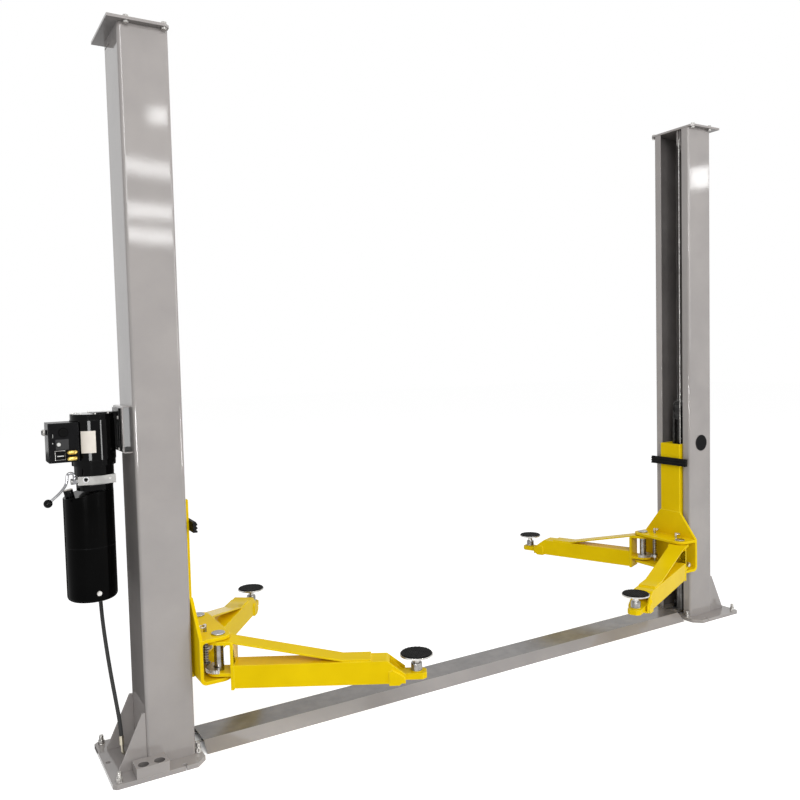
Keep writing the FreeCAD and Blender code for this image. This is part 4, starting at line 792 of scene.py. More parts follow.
def settle(piece: Piece, body: str, finish: Finish, stands_for: Iterable[str] = ()) -> Piece:
    """Dress a piece, let it ride on a body and hide the nodes it stands for.

    Args:
        piece: The piece.
        body: The CAD body that carries it.
        finish: Its look.
        stands_for: CAD nodes that it replaces.

    Returns:
        The same piece.
    """
    if not piece.data.materials:
        piece.data.materials.append(finish.material())
    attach(piece, body)
    if stands_for:
        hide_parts(*stands_for)
    log.info("%s rides on %s", piece.name, body)
    return piece


def dress(node: str, finish: Finish, edge: Finish | None = None, width: float = 0.0012,
          patches: Sequence[Patch] = (), body: str = "frame") -> Piece:
    """Replace a CAD node by its copy with rounded edges.

    Args:
        node: Name of the CAD node.
        finish: Look of its faces.
        edge: Look of its rounded edges, a lighter finish painted on as a highlight.
        width: Width of the rounding.
        patches: Looks of some of its faces.
        body: The CAD body that carries it.

    Returns:
        The new piece.
    """
    piece = bevelled(node + "_dressed", tidy_copy(node), width, finish, edge, patches)
    return settle(piece, body, finish, [node])


# Sub-assemblies


@dataclass
class Standing:
    """Columns, plates, bolts and the floor cover."""

    anchor_x: Span = (1.749, 1.4332)
    anchor_y: Span = (0.174, 0.112)
    anchor_top: float = 0.054
    nut_top: float = 0.035
    thread_radius: float = 0.0079
    thread_pitch: float = 0.002
    thread_ridge: float = 0.0008
    # Patches of painted shade inside the columns and rack pockets, under the top plates and the floor
    # cover, and a painted dark reflection on the cover's top.
    in_column: Patch = Patch(GREY_PAINTED_SHADE, (1.450, 1.6275), (-FAR, 0.1175))
    in_pocket: Patch = Patch(GREY_PAINTED_SHADE, (1.574, 1.686), (0.127, 0.195), (-FAR, 0.0575))
    under_top: Patch = Patch(GREY_PAINTED_SHADE, rise=(-FAR, -0.05))
    under_cover: Patch = Patch(PAINTED_DEEP_SHADE, rise=(-FAR, -0.05))
    on_cover: Patch = Patch(COVER_TOP_PAINTED_REFLECTION, rise=(0.95, FAR))

    def build(self) -> None:
        """Dress every standing sheet and plate."""
        for side in Side:
            dress(f"{side.word}_column", GREY, GREY_EDGE_WEAR_HIGHLIGHT, 0.0008, [self.in_column])
        dress("base_plates", GREY, GREY_EDGE_WEAR_HIGHLIGHT)
        dress("column_gussets", GREY, GREY_EDGE_WEAR_HIGHLIGHT)
        dress("top_plates", GREY, GREY_EDGE_WEAR_HIGHLIGHT, patches=[self.under_top])
        dress("adapter_racks", GREY, GREY_EDGE_WEAR_HIGHLIGHT, patches=[self.in_pocket])
        dress("floor_cover", GREY, GREY_EDGE_WEAR_HIGHLIGHT, 0.001, [self.under_cover, self.on_cover])
        # Lighter plastic on the plugs' rounded edges: a painted highlight.
        dress("column_plugs", PLASTIC, PANEL, 0.0014)
        dress("anchor_bolts", ZINC, width=0.0008)
        dress("top_bolts", ZINC, width=0.0007)
        self.anchor_threads()

    def anchor_threads(self) -> None:
        """Cut thread on the visible end of each floor anchor."""
        height = self.anchor_top - self.nut_top - self.thread_pitch
        sizes = {"Turns": height / self.thread_pitch, "Radius": self.thread_radius,
                 "Height": height, "Wire": self.thread_ridge}
        spots = [side.place(-x, sign * y, self.nut_top + self.thread_pitch / 2) for side in Side
                 for x, y in zip(self.anchor_x, self.anchor_y) for sign in (-1, 1)]
        coil("anchor_threads", spots, sizes, 20, 3, ZINC, "frame")


@dataclass
class LiftGear:
    """Cylinders, rods, chains, cables and pulleys in the columns."""

    ram_x: float = 1.516
    sheave_z: float = 1.223
    chain_centre: float = 0.0424
    chain_end: float = 0.398
    chain_pitch: float = 0.01905
    chain_height: float = 0.0135
    plate_thickness: float = 0.0026
    outer_plates: tuple[float, ...] = (-0.0084, -0.0028, 0.0028, 0.0084)
    inner_plates: tuple[float, ...] = (-0.0056, 0.0, 0.0056)
    pin_radius: float = 0.003
    pin_length: float = 0.0205
    cable_radius: float = 0.0045
    cable_core: float = 0.72
    cable_lay: float = 0.065
    cable_step: float = 0.006
    cable_side: float = 0.042
    drop_x: float = 1.464
    top_bend: float = 0.048
    low_bend: float = 0.025
    top_z: float = 2.741
    cable_floor: float = 0.025
    drop_end: float = 0.350
    riser_end: float = 0.960

    def build(self) -> None:
        """Dress the gear of both columns."""
        dress("lift_cylinders", STEEL, width=0.0008)
        dress("top_pulleys", GREY, GREY_EDGE_WEAR_HIGHLIGHT, 0.0006)
        # Lighter steel on the roundings of the floor pulleys: a painted highlight.
        dress("floor_pulleys", OILY_STEEL_AND_SHADE, STEEL, 0.0006)
        for side in Side:
            rod = f"{side.word}_lift_rod"
            # The lift rod's near black steel is partly painted shade, with lighter steel rims as a
            # painted highlight.
            dress(rod, OILY_STEEL_AND_SHADE, STEEL, 0.0006, body=rod)
            self.chain(side)
        self.cables()

    def chain(self, side: Side) -> None:
        """Link plates and pins of a leaf chain, over its sheave.

        Args:
            side: The column that it hangs in.
        """
        recipe = Recipe(f"{side.word}_chain_links", {
            "Pitch": self.chain_pitch, "Plate radius": self.chain_height / 2,
            "Plate": self.plate_thickness, "Pin radius": self.pin_radius,
            "Pin length": self.pin_length})
        entry = recipe.entry
        path = recipe.node("MeshToCurve", Mesh=entry["Carrier"])
        stops = recipe.wiring.add("GeometryNodeCurveToPoints", {"mode": "LENGTH"}, Curve=path,
                                  Length=recipe.wiring.maths("MULTIPLY", entry["Pitch"], 0.5))
        turn = recipe.wiring.add("FunctionNodeAxesToRotation",
                                 {"primary_axis": "X", "secondary_axis": "Z"},
                                 Primary_Axis=stops.outputs["Tangent"],
                                 Secondary_Axis=(1.0, 0.0, 0.0)).outputs[0]
        order = recipe.node("InputIndex")
        halves = []
        for sign in (-0.5, 0.5):
            disc = recipe.node("MeshCylinder", Vertices=10,
                               Radius=entry["Plate radius"], Depth=entry["Plate"])
            reach = recipe.wiring.maths("MULTIPLY", entry["Pitch"], sign)
            shift = recipe.wiring.add("ShaderNodeCombineXYZ", X=reach).outputs[0]
            halves.append(recipe.node("Transform", Geometry=disc, Translation=shift))
        plate = recipe.node("ConvexHull", Geometry=recipe.merged(halves))
        pin = recipe.node("MeshCylinder", Vertices=8, Radius=entry["Pin radius"],
                          Depth=entry["Pin length"])
        made = []
        for thing, step, remainder in ((self.stack(recipe, plate, self.outer_plates), 4, 1),
                                       (self.stack(recipe, plate, self.inner_plates), 4, 3),
                                       (pin, 2, 0)):
            left = recipe.wiring.maths("MODULO", order, float(step))
            chosen = recipe.wiring.maths("COMPARE", left, float(remainder))
            made.append(recipe.scatter(stops.outputs[0], thing, Selection=chosen, Rotation=turn))
        carrier = line_mesh("chain_path", self.loop(side))
        rod = f"{side.word}_lift_rod"
        recipe.make(recipe.merged(made), carrier, STEEL, rod, False, [f"{side.word}_chain"])

    @staticmethod
    def stack(recipe: Recipe, plate: Socket, offsets: Sequence[float]) -> Socket:
        """Stack link plates along their pin.

        Args:
            recipe: The chain's recipe.
            plate: One link plate.
            offsets: Place of each plate along the pin.

        Returns:
            The stacked plates.
        """
        return recipe.merged([recipe.node("Transform", Geometry=plate,
                                          Translation=(0.0, 0.0, offset)) for offset in offsets])

    def loop(self, side: Side) -> list[Point]:
        """Points of a chain, up over its sheave and down again.

        Args:
            side: The column that it hangs in.

        Returns:
            The points in order.
        """
        flat = [(-self.chain_centre, self.chain_end)]
        for i in range(25):
            angle = math.pi * (1 - i / 24)
            flat.append((self.chain_centre * math.cos(angle),
                         self.sheave_z + self.chain_centre * math.sin(angle)))
        flat.append((self.chain_centre, self.chain_end))
        return [side.place(-self.ram_x, y, z) for y, z in flat]

    def cables(self) -> None:
        """Two wire ropes of six strands, laid along their pulleys."""
        recipe = Recipe("wire_ropes", {"Radius": self.cable_radius, "Lay": self.cable_lay,
                                       "Step": self.cable_step})
        entry = recipe.entry
        path = recipe.node("MeshToCurve", Mesh=entry["Carrier"])
        even = recipe.node("ResampleCurve", {"mode": "LENGTH"}, Curve=path, Length=entry["Step"])
        run = recipe.wiring.add("GeometryNodeSplineParameter").outputs["Length"]
        turns = recipe.wiring.maths("DIVIDE", run, entry["Lay"])
        twisted = recipe.node("SetCurveTilt", Curve=even,
                              Tilt=recipe.wiring.maths("MULTIPLY", turns, 2 * math.pi))
        core = recipe.wiring.maths("MULTIPLY", entry["Radius"], self.cable_core)
        star = recipe.node("CurveStar", Points=6, Inner_Radius=core, Outer_Radius=entry["Radius"])
        rope = recipe.node("CurveToMesh", Curve=twisted, Profile_Curve=star)
        paths = [line_mesh("rope_path", self.route(sign)) for sign in (1, -1)]
        recipe.make(rope, together("rope_paths", paths), ROPE, "frame", True, ["lift_cables"])

    def route(self, sign: int) -> list[Point]:
        """Points of one cable, from the carriage over both pulleys to the other side.

        Args:
            sign: 1 for the cable that starts on the pump side, -1 for the other.

        Returns:
            The points in order.
        """
        riser = self.drop_x + 2 * self.top_bend
        low = self.cable_floor + self.low_bend
        flat = [(self.drop_x, self.drop_end)]
        for i in range(17):
            angle = math.pi * i / 16
            flat.append((self.drop_x + self.top_bend * (1 - math.cos(angle)),
                         self.top_z + self.top_bend * math.sin(angle)))
        for centre, first in ((riser - self.low_bend, 0.0), (-riser + self.low_bend, 90.0)):
            for i in range(9):
                angle = math.radians(first + i * 90 / 8)
                flat.append((centre + self.low_bend * math.cos(angle),
                             low - self.low_bend * math.sin(angle)))
        flat.append((-riser, self.riser_end))
        return [(-sign * x, sign * self.cable_side, z) for x, z in flat]


@dataclass
class Carriages:
    """Carriages with their sliders, bumpers and arm pins."""

    bumper_x: Span = (-1.424, -1.407)
    bumper_z: Span = (0.896, 0.938)
    bumper_half: float = 0.125
    ribs: int = 3
    rib_depth: float = 0.004
    rib_rounding: float = 0.0007

    def build(self) -> None:
        """Dress both carriages."""
        for side in Side:
            body = f"{side.word}_carriage"
            dress(body, YELLOW, YELLOW_EDGE_WEAR_HIGHLIGHT, 0.0018, body=body)
            dress(f"{side.word}_sliders", NYLON, body=body)
            self.bumper(side, body)
            # Pin heads in darkened steel, a painted dark reflection, with zinc rims as a painted
            # highlight.
            dress(f"{side.word}_arm_pins", STEEL_PAINTED_DARK, ZINC, 0.0014, body=body)

    def bumper(self, side: Side, body: str) -> None:
        """Ribbed rubber across the carriage's tube.

        Args:
            side: The column.
            body: The carriage.
        """
        near, face = self.bumper_x
        low, high = self.bumper_z
        rib = (high - low) / (2 * self.ribs)
        outline = [(near, low)]
        for i in range(2 * self.ribs):
            reach = face if i % 2 == 0 else face - self.rib_depth
            outline += [(reach, low + i * rib), (reach, low + (i + 1) * rib)]
        outline.append((near, high))
        corners = [side.place(x, y, z) for y in (-self.bumper_half, self.bumper_half)
                   for x, z in outline]
        faces = ends(2, len(outline)) + bands(2, len(outline))
        mesh = outward(mesh_of("bumper", corners, faces=faces))
        piece = bevelled(f"{side.word}_ribbed_bumper", mesh, self.rib_rounding, RUBBER)
        settle(piece, body, RUBBER, [f"{side.word}_bumper"])


@dataclass
class Arms:
    """The four arms with their extensions, pads and restraints."""

    pin_x: float = 1.344
    pin_y: float = 0.136
    front_reach: float = 0.785
    back_reach: float = 0.748
    pad_top: float = 0.388
    rubber_radius: float = 0.0627
    rubber_thickness: float = 0.009
    rubber_chamfer: float = 0.0012
    notch_depth: float = 0.0018
    stud_height: float = 0.0016
    stud_radius: float = 0.0034
    stud_top: float = 0.002
    stud_rows: int = 13
    stud_border: float = 0.006
    stud_turn: float = 0.4
    thread_radius: float = 0.0134
    screw_turns: float = 14.0
    screw_pitch: float = 0.003
    screw_ridge: float = 0.0009
    boss_low: float = 0.369
    sleeve_radius: float = 0.019
    sleeve_sink: float = 0.0005
    sleeve_margin: float = 0.0004
    sleeve_steps: int = 40
    painted_foot: float = 0.003
    weld_bead: Profile = ((0.0, -0.0005), (0.006, 0.0), (0.004, 0.003), (0.0, 0.0055))
    nose_top: float = 0.3115
    jacket_low: float = 0.004
    jacket_high: float = 0.0335
    jacket_wall: float = 0.0045
    jacket_grooves: int = 5
    groove_low: float = 0.0086
    groove_pitch: float = 0.005
    groove_depth: float = 0.0007
    groove_half: float = 0.0006
    jacket_chamfer: float = 0.001
    jacket_rounding: float = 0.0002
    lock_x: float = 1.380
    lock_y: float = 0.0783
    block_top: float = 0.355
    shelf_low: float = 0.470
    lock_lift: float = 0.025
    spring_turns: float = 11.0
    spring_radius: float = 0.0105
    spring_wire: float = 0.0019

    def build(self) -> None:
        """Dress every arm."""
        for arm in Arm:
            word = arm.word
            # The bare sleeve takes steel darkened as a painted dark reflection.
            sleeve = Patch(STEEL_PAINTED_DARK, z=(self.nose_top + self.painted_foot, FAR),
                           centre=self.pad_place(arm),
                           reach=self.sleeve_radius + self.sleeve_margin)
            dress(f"{word}_arm", YELLOW, YELLOW_EDGE_WEAR_HIGHLIGHT, 0.0016, body=f"{word}_arm")
            dress(f"{word}_gear", ZINC, width=0.0006, body=f"{word}_arm")
            dress(f"{word}_extension", YELLOW, YELLOW_EDGE_WEAR_HIGHLIGHT, 0.0014, [sleeve], f"{word}_extension")
            dress(f"{word}_pad_screw", ZINC, width=0.0008, body=f"{word}_pad")
            dress(f"{word}_restraint", ZINC, width=0.0006, body=f"{word}_restraint")
            self.rubber(arm)
            self.screw_thread(arm)
            self.sleeve_weld(arm)
            self.spring(arm)

    def pad_place(self, arm: Arm) -> tuple[float, float]:
        """Where an arm's pad stands at rest.

        Args:
            arm: The arm.

        Returns:
            The place along and across the bay.
        """
        x, y = arm.mount(self.pin_x, self.pin_y)
        reach = self.front_reach if arm.front else self.back_reach
        angle = math.radians(arm.value[1])
        return (x + reach * math.cos(angle), y + reach * math.sin(angle))

    def rubber(self, arm: Arm) -> None:
        """Rubber of a pad: a disc with studs on its top and notches round its edge.

        Args:
            arm: The arm that carries it.
        """
        x, y = self.pad_place(arm)
        top = self.pad_top
        radius = self.rubber_radius
        recipe = Recipe(f"{arm.word}_pad_studs", {"Stud": self.stud_radius,
                                                  "Height": self.stud_height,
                                                  "Across": self.stud_rows})
        entry = recipe.entry
        grid = recipe.node("MeshGrid", Size_X=2 * radius, Size_Y=2 * radius,
                           Vertices_X=entry["Across"], Vertices_Y=entry["Across"])
        spot = recipe.node("InputPosition")
        away = recipe.wiring.add("ShaderNodeVectorMath", {"operation": "LENGTH"}, Vector=spot)
        outside = recipe.wiring.maths("GREATER_THAN", away.outputs["Value"],
                                      radius - self.stud_border)
        kept = recipe.node("DeleteGeometry", Geometry=grid, Selection=outside)
        stud = recipe.node("MeshCone", Vertices=6, Radius_Top=self.stud_top,
                           Radius_Bottom=entry["Stud"], Depth=entry["Height"])
        placed = recipe.node("Transform", Geometry=recipe.scatter(kept, stud),
                             Translation=(x, y, top - self.stud_height),
                             Rotation=(0.0, 0.0, self.stud_turn))
        carrier = mesh_of("pad_spot", [(x, y, top)])
        recipe.make(placed, carrier, RUBBER, f"{arm.word}_pad", False)
        corners = []
        steps = 96
        rows = ((top - self.rubber_thickness, 0.0), (top - 2 * self.stud_height, 0.0),
                (top - self.stud_height, self.rubber_chamfer))
        for z, shrink in rows:
            for i in range(steps):
                angle = 2 * math.pi * i / steps
                notch = self.notch_depth if i % 4 >= 2 else 0.0
                reach = radius - shrink - notch
                corners.append((x + reach * math.cos(angle), y + reach * math.sin(angle), z))
        faces = ends(len(rows), steps) + bands(len(rows), steps)
        disc = new_object(f"{arm.word}_pad_disc", outward(mesh_of("pad_disc", corners, faces=faces)))
        settle(disc, f"{arm.word}_pad", RUBBER, [f"{arm.word}_pad_rubber"])

    def screw_thread(self, arm: Arm) -> None:
        """Thread on the bare stretch of a pad's screw.

        Args:
            arm: The arm that carries it.
        """
        height = self.screw_turns * self.screw_pitch
        sizes = {"Turns": self.screw_turns, "Radius": self.thread_radius, "Height": height,
                 "Wire": self.screw_ridge}
        foot = (*self.pad_place(arm), self.boss_low - height)
        coil(f"{arm.word}_pad_thread", [foot], sizes, 28, 3, ZINC, f"{arm.word}_pad")

    def sleeve_weld(self, arm: Arm) -> None:
        """Painted weld round the foot of a screw sleeve, and the turned jacket above it.

        Args:
            arm: The arm that carries it.
        """
        body = f"{arm.word}_extension"
        foot = (*self.pad_place(arm), self.nose_top)
        inner = self.sleeve_radius - self.sleeve_sink
        bead = [(inner + out, up) for out, up in self.weld_bead]
        weld = smoothed(revolved("sleeve_weld", bead, foot, self.sleeve_steps, ring=True))
        # The weld bead takes the lighter edge paint with chips: wear, and a painted highlight.
        settle(new_object(f"{arm.word}_sleeve_weld", weld), body, YELLOW_EDGE_WEAR_HIGHLIGHT)
        outer = inner + self.jacket_wall
        profile = [(inner, self.jacket_low), (outer, self.jacket_low)]
        for row in range(self.jacket_grooves):
            middle = self.groove_low + row * self.groove_pitch
            profile += [(outer, middle - self.groove_half), (outer - self.groove_depth, middle),
                        (outer, middle + self.groove_half)]
        profile += [(outer - self.jacket_chamfer, self.jacket_high), (inner, self.jacket_high)]
        jacket = revolved("sleeve_jacket", profile, foot, self.sleeve_steps, ring=True)
        # The jacket takes steel darkened as a painted dark reflection.
        piece = bevelled(f"{arm.word}_sleeve_jacket", jacket, self.jacket_rounding, STEEL_PAINTED_DARK)
        settle(piece, body, STEEL_PAINTED_DARK)

    def spring(self, arm: Arm) -> None:
        """Coil spring between the toothed block and the upper shelf.

        Args:
            arm: The arm that the rod locks.
        """
        x, y = arm.mount(self.lock_x, self.lock_y)
        height = self.shelf_low - self.block_top - 2 * self.spring_wire
        sizes = {"Turns": self.spring_turns, "Radius": self.spring_radius, "Height": height,
                 "Wire": self.spring_wire}
        foot = (x, y, self.block_top + self.spring_wire)
        piece = coil(f"{arm.word}_coil_spring", [foot], sizes, 24, 8, STEEL,
                     f"{arm.side.word}_carriage")
        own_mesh(piece)


@dataclass
class PowerUnit:
    """Motor, pump block, tank, switch box, hose and release lever."""

    motor_x: float = -1.7585
    motor_radius: float = 0.081
    motor_top: float = 1.379
    screw_ring: float = 0.070
    screw_count: int = 8
    screw_head: float = 0.0045
    screw_top: float = 0.0032
    screw_height: float = 0.004
    screw_sink: float = 0.0002
    label_z: Span = (1.2355, 1.3175)
    label_start: float = -130.0
    label_sweep: float = 37.7
    label_gap: float = 0.0006
    label_thickness: float = 0.0005
    tank_x: float = -1.7835
    tank_radius: float = 0.091
    line_z: Span = (0.8792, 0.8812)
    line_gap: float = 0.0004
    line_start: float = -178.0
    line_sweep: float = 176.0
    drain_z: float = 0.710
    drain_turn: float = -84.6
    foot_bolt_x: float = -1.6737
    foot_bolt_y: Span = (-0.050, 0.050)
    foot_bolt_z: Span = (1.360, 1.240)
    gland: Point = (-1.9352, -0.012, 1.317)
    box_face: float = -0.062
    front_depth: float = 0.002
    block_rounding: float = 0.0012
    button: Span = (-1.8885, 1.2745)
    cover_ring: Span = (-1.8706, 1.317)
    contact_x: float = -1.863
    contact_depth: float = 0.011
    contact_z: Span = (1.243, 1.2200)
    block_face: float = -0.052
    port: Span = (-1.798, 1.1345)
    block_screw: Span = (-1.712, 1.1335)
    hose_radius: float = 0.0075
    button_outline: Profile = ((0.0, -0.011), (0.0055, -0.011), (0.0068, -0.0095), (0.0068, 0.0))
    ring_outline: Profile = ((0.012, -0.0035), (0.0135, -0.0045), (0.0155, -0.0045),
                             (0.017, -0.002))
    contact_outline: Profile = ((0.0, 0.0), (0.006, 0.003), (0.0085, 0.008), (0.0085, 0.030),
                                (0.0065, 0.036), (0.0, 0.038))
    port_outline: Profile = ((0.0055, -0.0005), (0.008, -0.003), (0.0115, -0.003), (0.012, 0.001))
    plug_outline: Profile = ((0.0, -0.0015), (0.0075, -0.0015), (0.0075, 0.0))
    screw_outline: Profile = ((0.0, -0.003), (0.004, -0.003), (0.005, -0.0015), (0.005, 0.001))
    bolt_outline: Profile = ((0.0068, 0.002), (0.0068, -0.002), (0.0058, -0.0035), (0.0, -0.0035))
    nut_outline: Profile = ((0.0125, 0.0), (0.0135, 0.001), (0.0135, 0.008), (0.0125, 0.009))
    drain_outline: Profile = ((0.0095, 0.002), (0.0095, -0.0035), (0.0085, -0.0045),
                              (0.0, -0.0045))
    # Painted deep shade inside the pump bracket.
    in_bracket: Patch = Patch(PAINTED_DEEP_SHADE, (-FAR, 1.6610), (-FAR, 0.081), (1.2285, 1.3985))
    on_neck: Patch = Patch(BLACK_PAINT, z=(-FAR, 1.1135), rise=(-0.9, 0.9))
    on_cap: Patch = Patch(PAPER, z=(1.08, FAR), rise=(0.9, FAR))
    on_ball: Patch = Patch(BLACK_PAINT, centre=(-1.9325, -0.058, 1.0605), reach=0.0162)

    def build(self) -> None:
        """Dress the power unit."""
        dress("pump_bracket", GREY, GREY_EDGE_WEAR_HIGHLIGHT, 0.001, [self.in_bracket])
        dress("motor", BLACK_PAINT, width=0.0015)
        dress("pump_block", ALLOY, width=0.001, patches=[self.on_neck])
        dress("oil_tank", TANK, width=0.0015)
        dress("filler_cap", PLASTIC, width=0.0015, patches=[self.on_cap])
        dress("switch_box", PLASTIC, width=0.002)
        dress("hose_fittings", FITTING, width=0.0006)
        dress("release_lever", CHROME_PAINTED_DARK, width=0.0004, patches=[self.on_ball], body="release_lever")
        self.motor_label()
        self.motor_screws()
        self.switch()
        self.valves()
        self.bolt_heads()
        self.tank_lines()
        self.hose()

    def motor_label(self) -> None:
        """A bare label wrapped on the motor's shell."""
        radius = self.motor_radius + self.label_gap
        sheet = self.wrapped("motor_label", self.motor_x, radius, self.label_start,
                             self.label_sweep, 16, self.label_z)
        thick = sheet.modifiers.new("thickness", "SOLIDIFY")
        thick.thickness = self.label_thickness
        settle(sheet, "frame", PAPER)

    @staticmethod
    def wrapped(name: str, x: float, radius: float, start: float, sweep: float, steps: int,
                heights: Span) -> Piece:
        """Wrap a sheet round an upright axis in the lift's middle plane.

        Args:
            name: Name of the piece.
            x: Where the axis stands along the bay.
            radius: Radius of the sheet.
            start: Angle of its first edge, in degrees from +X.
            sweep: Angle from there to its other edge.
            steps: Number of facets.
            heights: Its lower and upper edge.

        Returns:
            The piece.
        """
        corners = [point for z in heights for point in arc(x, radius, start, sweep, steps, z)]
        return new_object(name, mesh_of(name, corners, faces=bands(2, steps + 1, closed=False)))

    def motor_screws(self) -> None:
        """Small screws round the motor's upper cap."""
        recipe = Recipe("motor_cap_screws", {"Ring": self.screw_ring, "Count": self.screw_count,
                                             "Head": self.screw_head, "Top": self.screw_top,
                                             "Height": self.screw_height})
        entry = recipe.entry
        ring = recipe.node("MeshCircle", Vertices=entry["Count"], Radius=entry["Ring"])
        head = recipe.node("MeshCone", Vertices=10, Radius_Top=entry["Top"],
                           Radius_Bottom=entry["Head"], Depth=entry["Height"])
        placed = recipe.node("Transform", Geometry=recipe.scatter(ring, head),
                             Translation=(self.motor_x, 0.0, self.motor_top - self.screw_sink))
        recipe.make(placed, mesh_of("motor_spot", [(0.0, 0.0, 0.0)]), ZINC, "frame", False)

    def switch(self) -> None:
        """Lid, panel, button, rocker and brass contacts of the switch box."""
        blocks = (
            ("box_lid", (-1.9195, 1.209), (-1.8195, 1.349), (-0.0025, 0.001), PLASTIC),
            ("box_panel", (-1.8985, 1.2535), (-1.8535, 1.2925), (-0.0045, -0.002), PANEL),
            ("rocker_frame", (-1.9025, 1.2165), (-1.8665, 1.2515), (-0.0050, -0.002), ZINC),
            ("rocker", (-1.9012, 1.2178), (-1.8678, 1.2502), (-0.0085, -0.004), BLACK_PAINT),
            ("rocker_mark", (-1.8960, 1.2300), (-1.8730, 1.2335), (-0.0092, -0.008), WHITE_PLASTIC),
            ("label_mark_high", (-1.9075, 1.2990), (-1.9060, 1.3130), (-0.0032, -0.002),
             WHITE_PLASTIC),
            ("label_mark_low", (-1.9095, 1.2770), (-1.9065, 1.2810), (-0.0032, -0.002),
             WHITE_PLASTIC),
        )
        for name, (left, low), (right, high), (front, back), finish in blocks:
            mesh = block_mesh(name, (left, self.box_face + front, low),
                              (right, self.box_face + back, high))
            settle(bevelled(name, mesh, self.block_rounding, finish), "frame", finish)
        y = self.box_face - self.front_depth
        self.turned("start_button", self.button_outline, self.button, y, 24, WHITE_PLASTIC)
        self.turned("cover_ring", self.ring_outline, self.cover_ring, y, 32, BLACK_PAINT)
        for number, z in enumerate(self.contact_z, 1):
            name = f"contact_{number}"
            spot = (self.contact_x, self.box_face - self.contact_depth, z)
            mesh = smoothed(revolved(name, self.contact_outline, spot, 20, Axis.X))
            settle(new_object(name, mesh), "frame", BRASS)

    def valves(self) -> None:
        """Port ring, plug and small screw on the pump block's front."""
        y = self.block_face
        self.turned("block_port", self.port_outline, self.port, y, 28, CHROME)
        self.turned("port_plug", self.plug_outline, self.port, y, 28, BLACK_PAINT)
        self.turned("block_screw", self.screw_outline, self.block_screw, y, 18, ZINC)

    @staticmethod
    def turned(name: str, profile: Profile, spot: Span, y: float, steps: int,
               finish: Finish) -> None:
        """Set a small turned piece on an upright front face.

        Args:
            name: Name of the piece.
            profile: Radius of each point and its place behind the face.
            spot: Place of its axis along the bay, and its height.
            y: Place of the face across the bay.
            steps: Number of facets.
            finish: Its look.
        """
        mesh = revolved(name, profile, (spot[0], y, spot[1]), steps, Axis.Y)
        settle(new_object(name, mesh), "frame", finish)

    def bolt_heads(self) -> None:
        """Bolt heads on the motor's foot plate, and the cable gland's nut."""
        steel = [revolved("foot_bolt", self.bolt_outline, (self.foot_bolt_x, y, z), 6, Axis.X)
                 for y in self.foot_bolt_y for z in self.foot_bolt_z]
        steel.append(revolved("gland_nut", self.nut_outline, self.gland, 6, Axis.X))
        piece = new_object("steel_bolt_heads", together("steel_bolt_heads", steel))
        settle(piece, "frame", ZINC)

    def tank_lines(self) -> None:
        """Moulding line and drain plug of the oil tank."""
        line = self.wrapped("tank_line", self.tank_x, self.tank_radius + self.line_gap,
                            self.line_start, self.line_sweep, 40, self.line_z)
        settle(line, "frame", PLASTIC)
        plug = revolved("drain_plug", self.drain_outline, (0.0, -self.tank_radius, 0.0), 24, Axis.Y)
        turn = Matrix.Rotation(math.radians(self.drain_turn + 90.0), 4, "Z")
        plug.transform(Matrix.Translation((self.tank_x, 0.0, self.drain_z)) @ turn)
        settle(new_object("drain_plug", plug), "frame", ZINC)

    def hose(self) -> None:
        """The hydraulic hose, one smooth line from the pump to the column's foot."""
        points = [(-1.738, 0.098, 1.086), (-1.738, 0.098, 0.990), (-1.743, 0.105, 0.885),
                  (-1.744, 0.107, 0.775), (-1.742, 0.099, 0.665), (-1.740, 0.084, 0.560),
                  (-1.734, 0.061, 0.455), (-1.726, 0.030, 0.345), (-1.716, -0.002, 0.240),
                  (-1.710, -0.024, 0.170), (-1.709, -0.031, 0.124)]
        curve = bpy.data.curves.new("hose_line", "CURVE")
        curve.dimensions = "3D"
        curve.bevel_depth = self.hose_radius
        curve.bevel_resolution = 5
        curve.use_fill_caps = True
        curve.resolution_u = 10
        spline = curve.splines.new("NURBS")
        spline.points.add(len(points) - 1)
        for control, point in zip(spline.points, points):
            control.co = (*point, 1.0)
        spline.order_u = 3
        spline.use_endpoint_u = True
        piece = bpy.data.objects.new("pressure_hose", curve)
        bpy.context.scene.collection.objects.link(piece)
        settle(piece, "frame", HOSE, ["hydraulic_hose"])


# Studio


@dataclass(frozen=True)
class Lamp:
    """A flat lamp: its glow is how bright its face is. A glint shows in gloss alone."""

    name: str
    place: Point
    target: Point
    size: tuple[float, float]
    glow: float
    roll: float = 0.0
    glint: bool = False


STUDIO_LAMPS = (
    Lamp("key_lamp", (-2.2, -5.0, 3.9), (-0.9, 0.0, 1.1), (2.4, 2.4), 7.0),
    Lamp("fill_lamp", (3.0, -4.6, 2.6), (0.9, 0.0, 1.1), (2.6, 2.2), 4.2),
    Lamp("top_lamp", (0.0, -0.6, 5.2), (0.0, 0.0, 0.0), (3.6, 2.4), 1.3),
)
HALL_LAMPS = (
    Lamp("hall_lamp_round", (-0.534, -3.815, 3.601), (-1.492, -0.122, 2.490), (0.16, 0.12), 12.0),
    Lamp("hall_lamp_high", (-0.645, -3.815, 3.161), (-1.544, -0.122, 2.291), (0.60, 0.12), 10.0,
         -7.0),
    Lamp("hall_lamp_middle", (-0.659, -3.815, 2.811), (-1.551, -0.122, 2.132), (0.60, 0.11), 11.0,
         -3.0),
    Lamp("hall_lamp_low", (-0.667, -3.815, 2.609), (-1.555, -0.122, 2.040), (0.60, 0.11), 11.0,
         -4.0),
    Lamp("hall_lamp_far", (6.158, -3.815, 3.709), (1.549, -0.122, 2.540), (0.28, 0.25), 11.0),
)
MOTOR_LAMPS = (
    Lamp("motor_lamp_left", (-3.09, -2.76, 1.02), (-1.815, -0.058, 1.26), (0.75, 0.42), 42.0,
         glint=True),
    Lamp("motor_lamp_right", (-0.09, -2.56, 1.03), (-1.77, -0.080, 1.26), (0.32, 0.42), 42.0,
         glint=True),
)


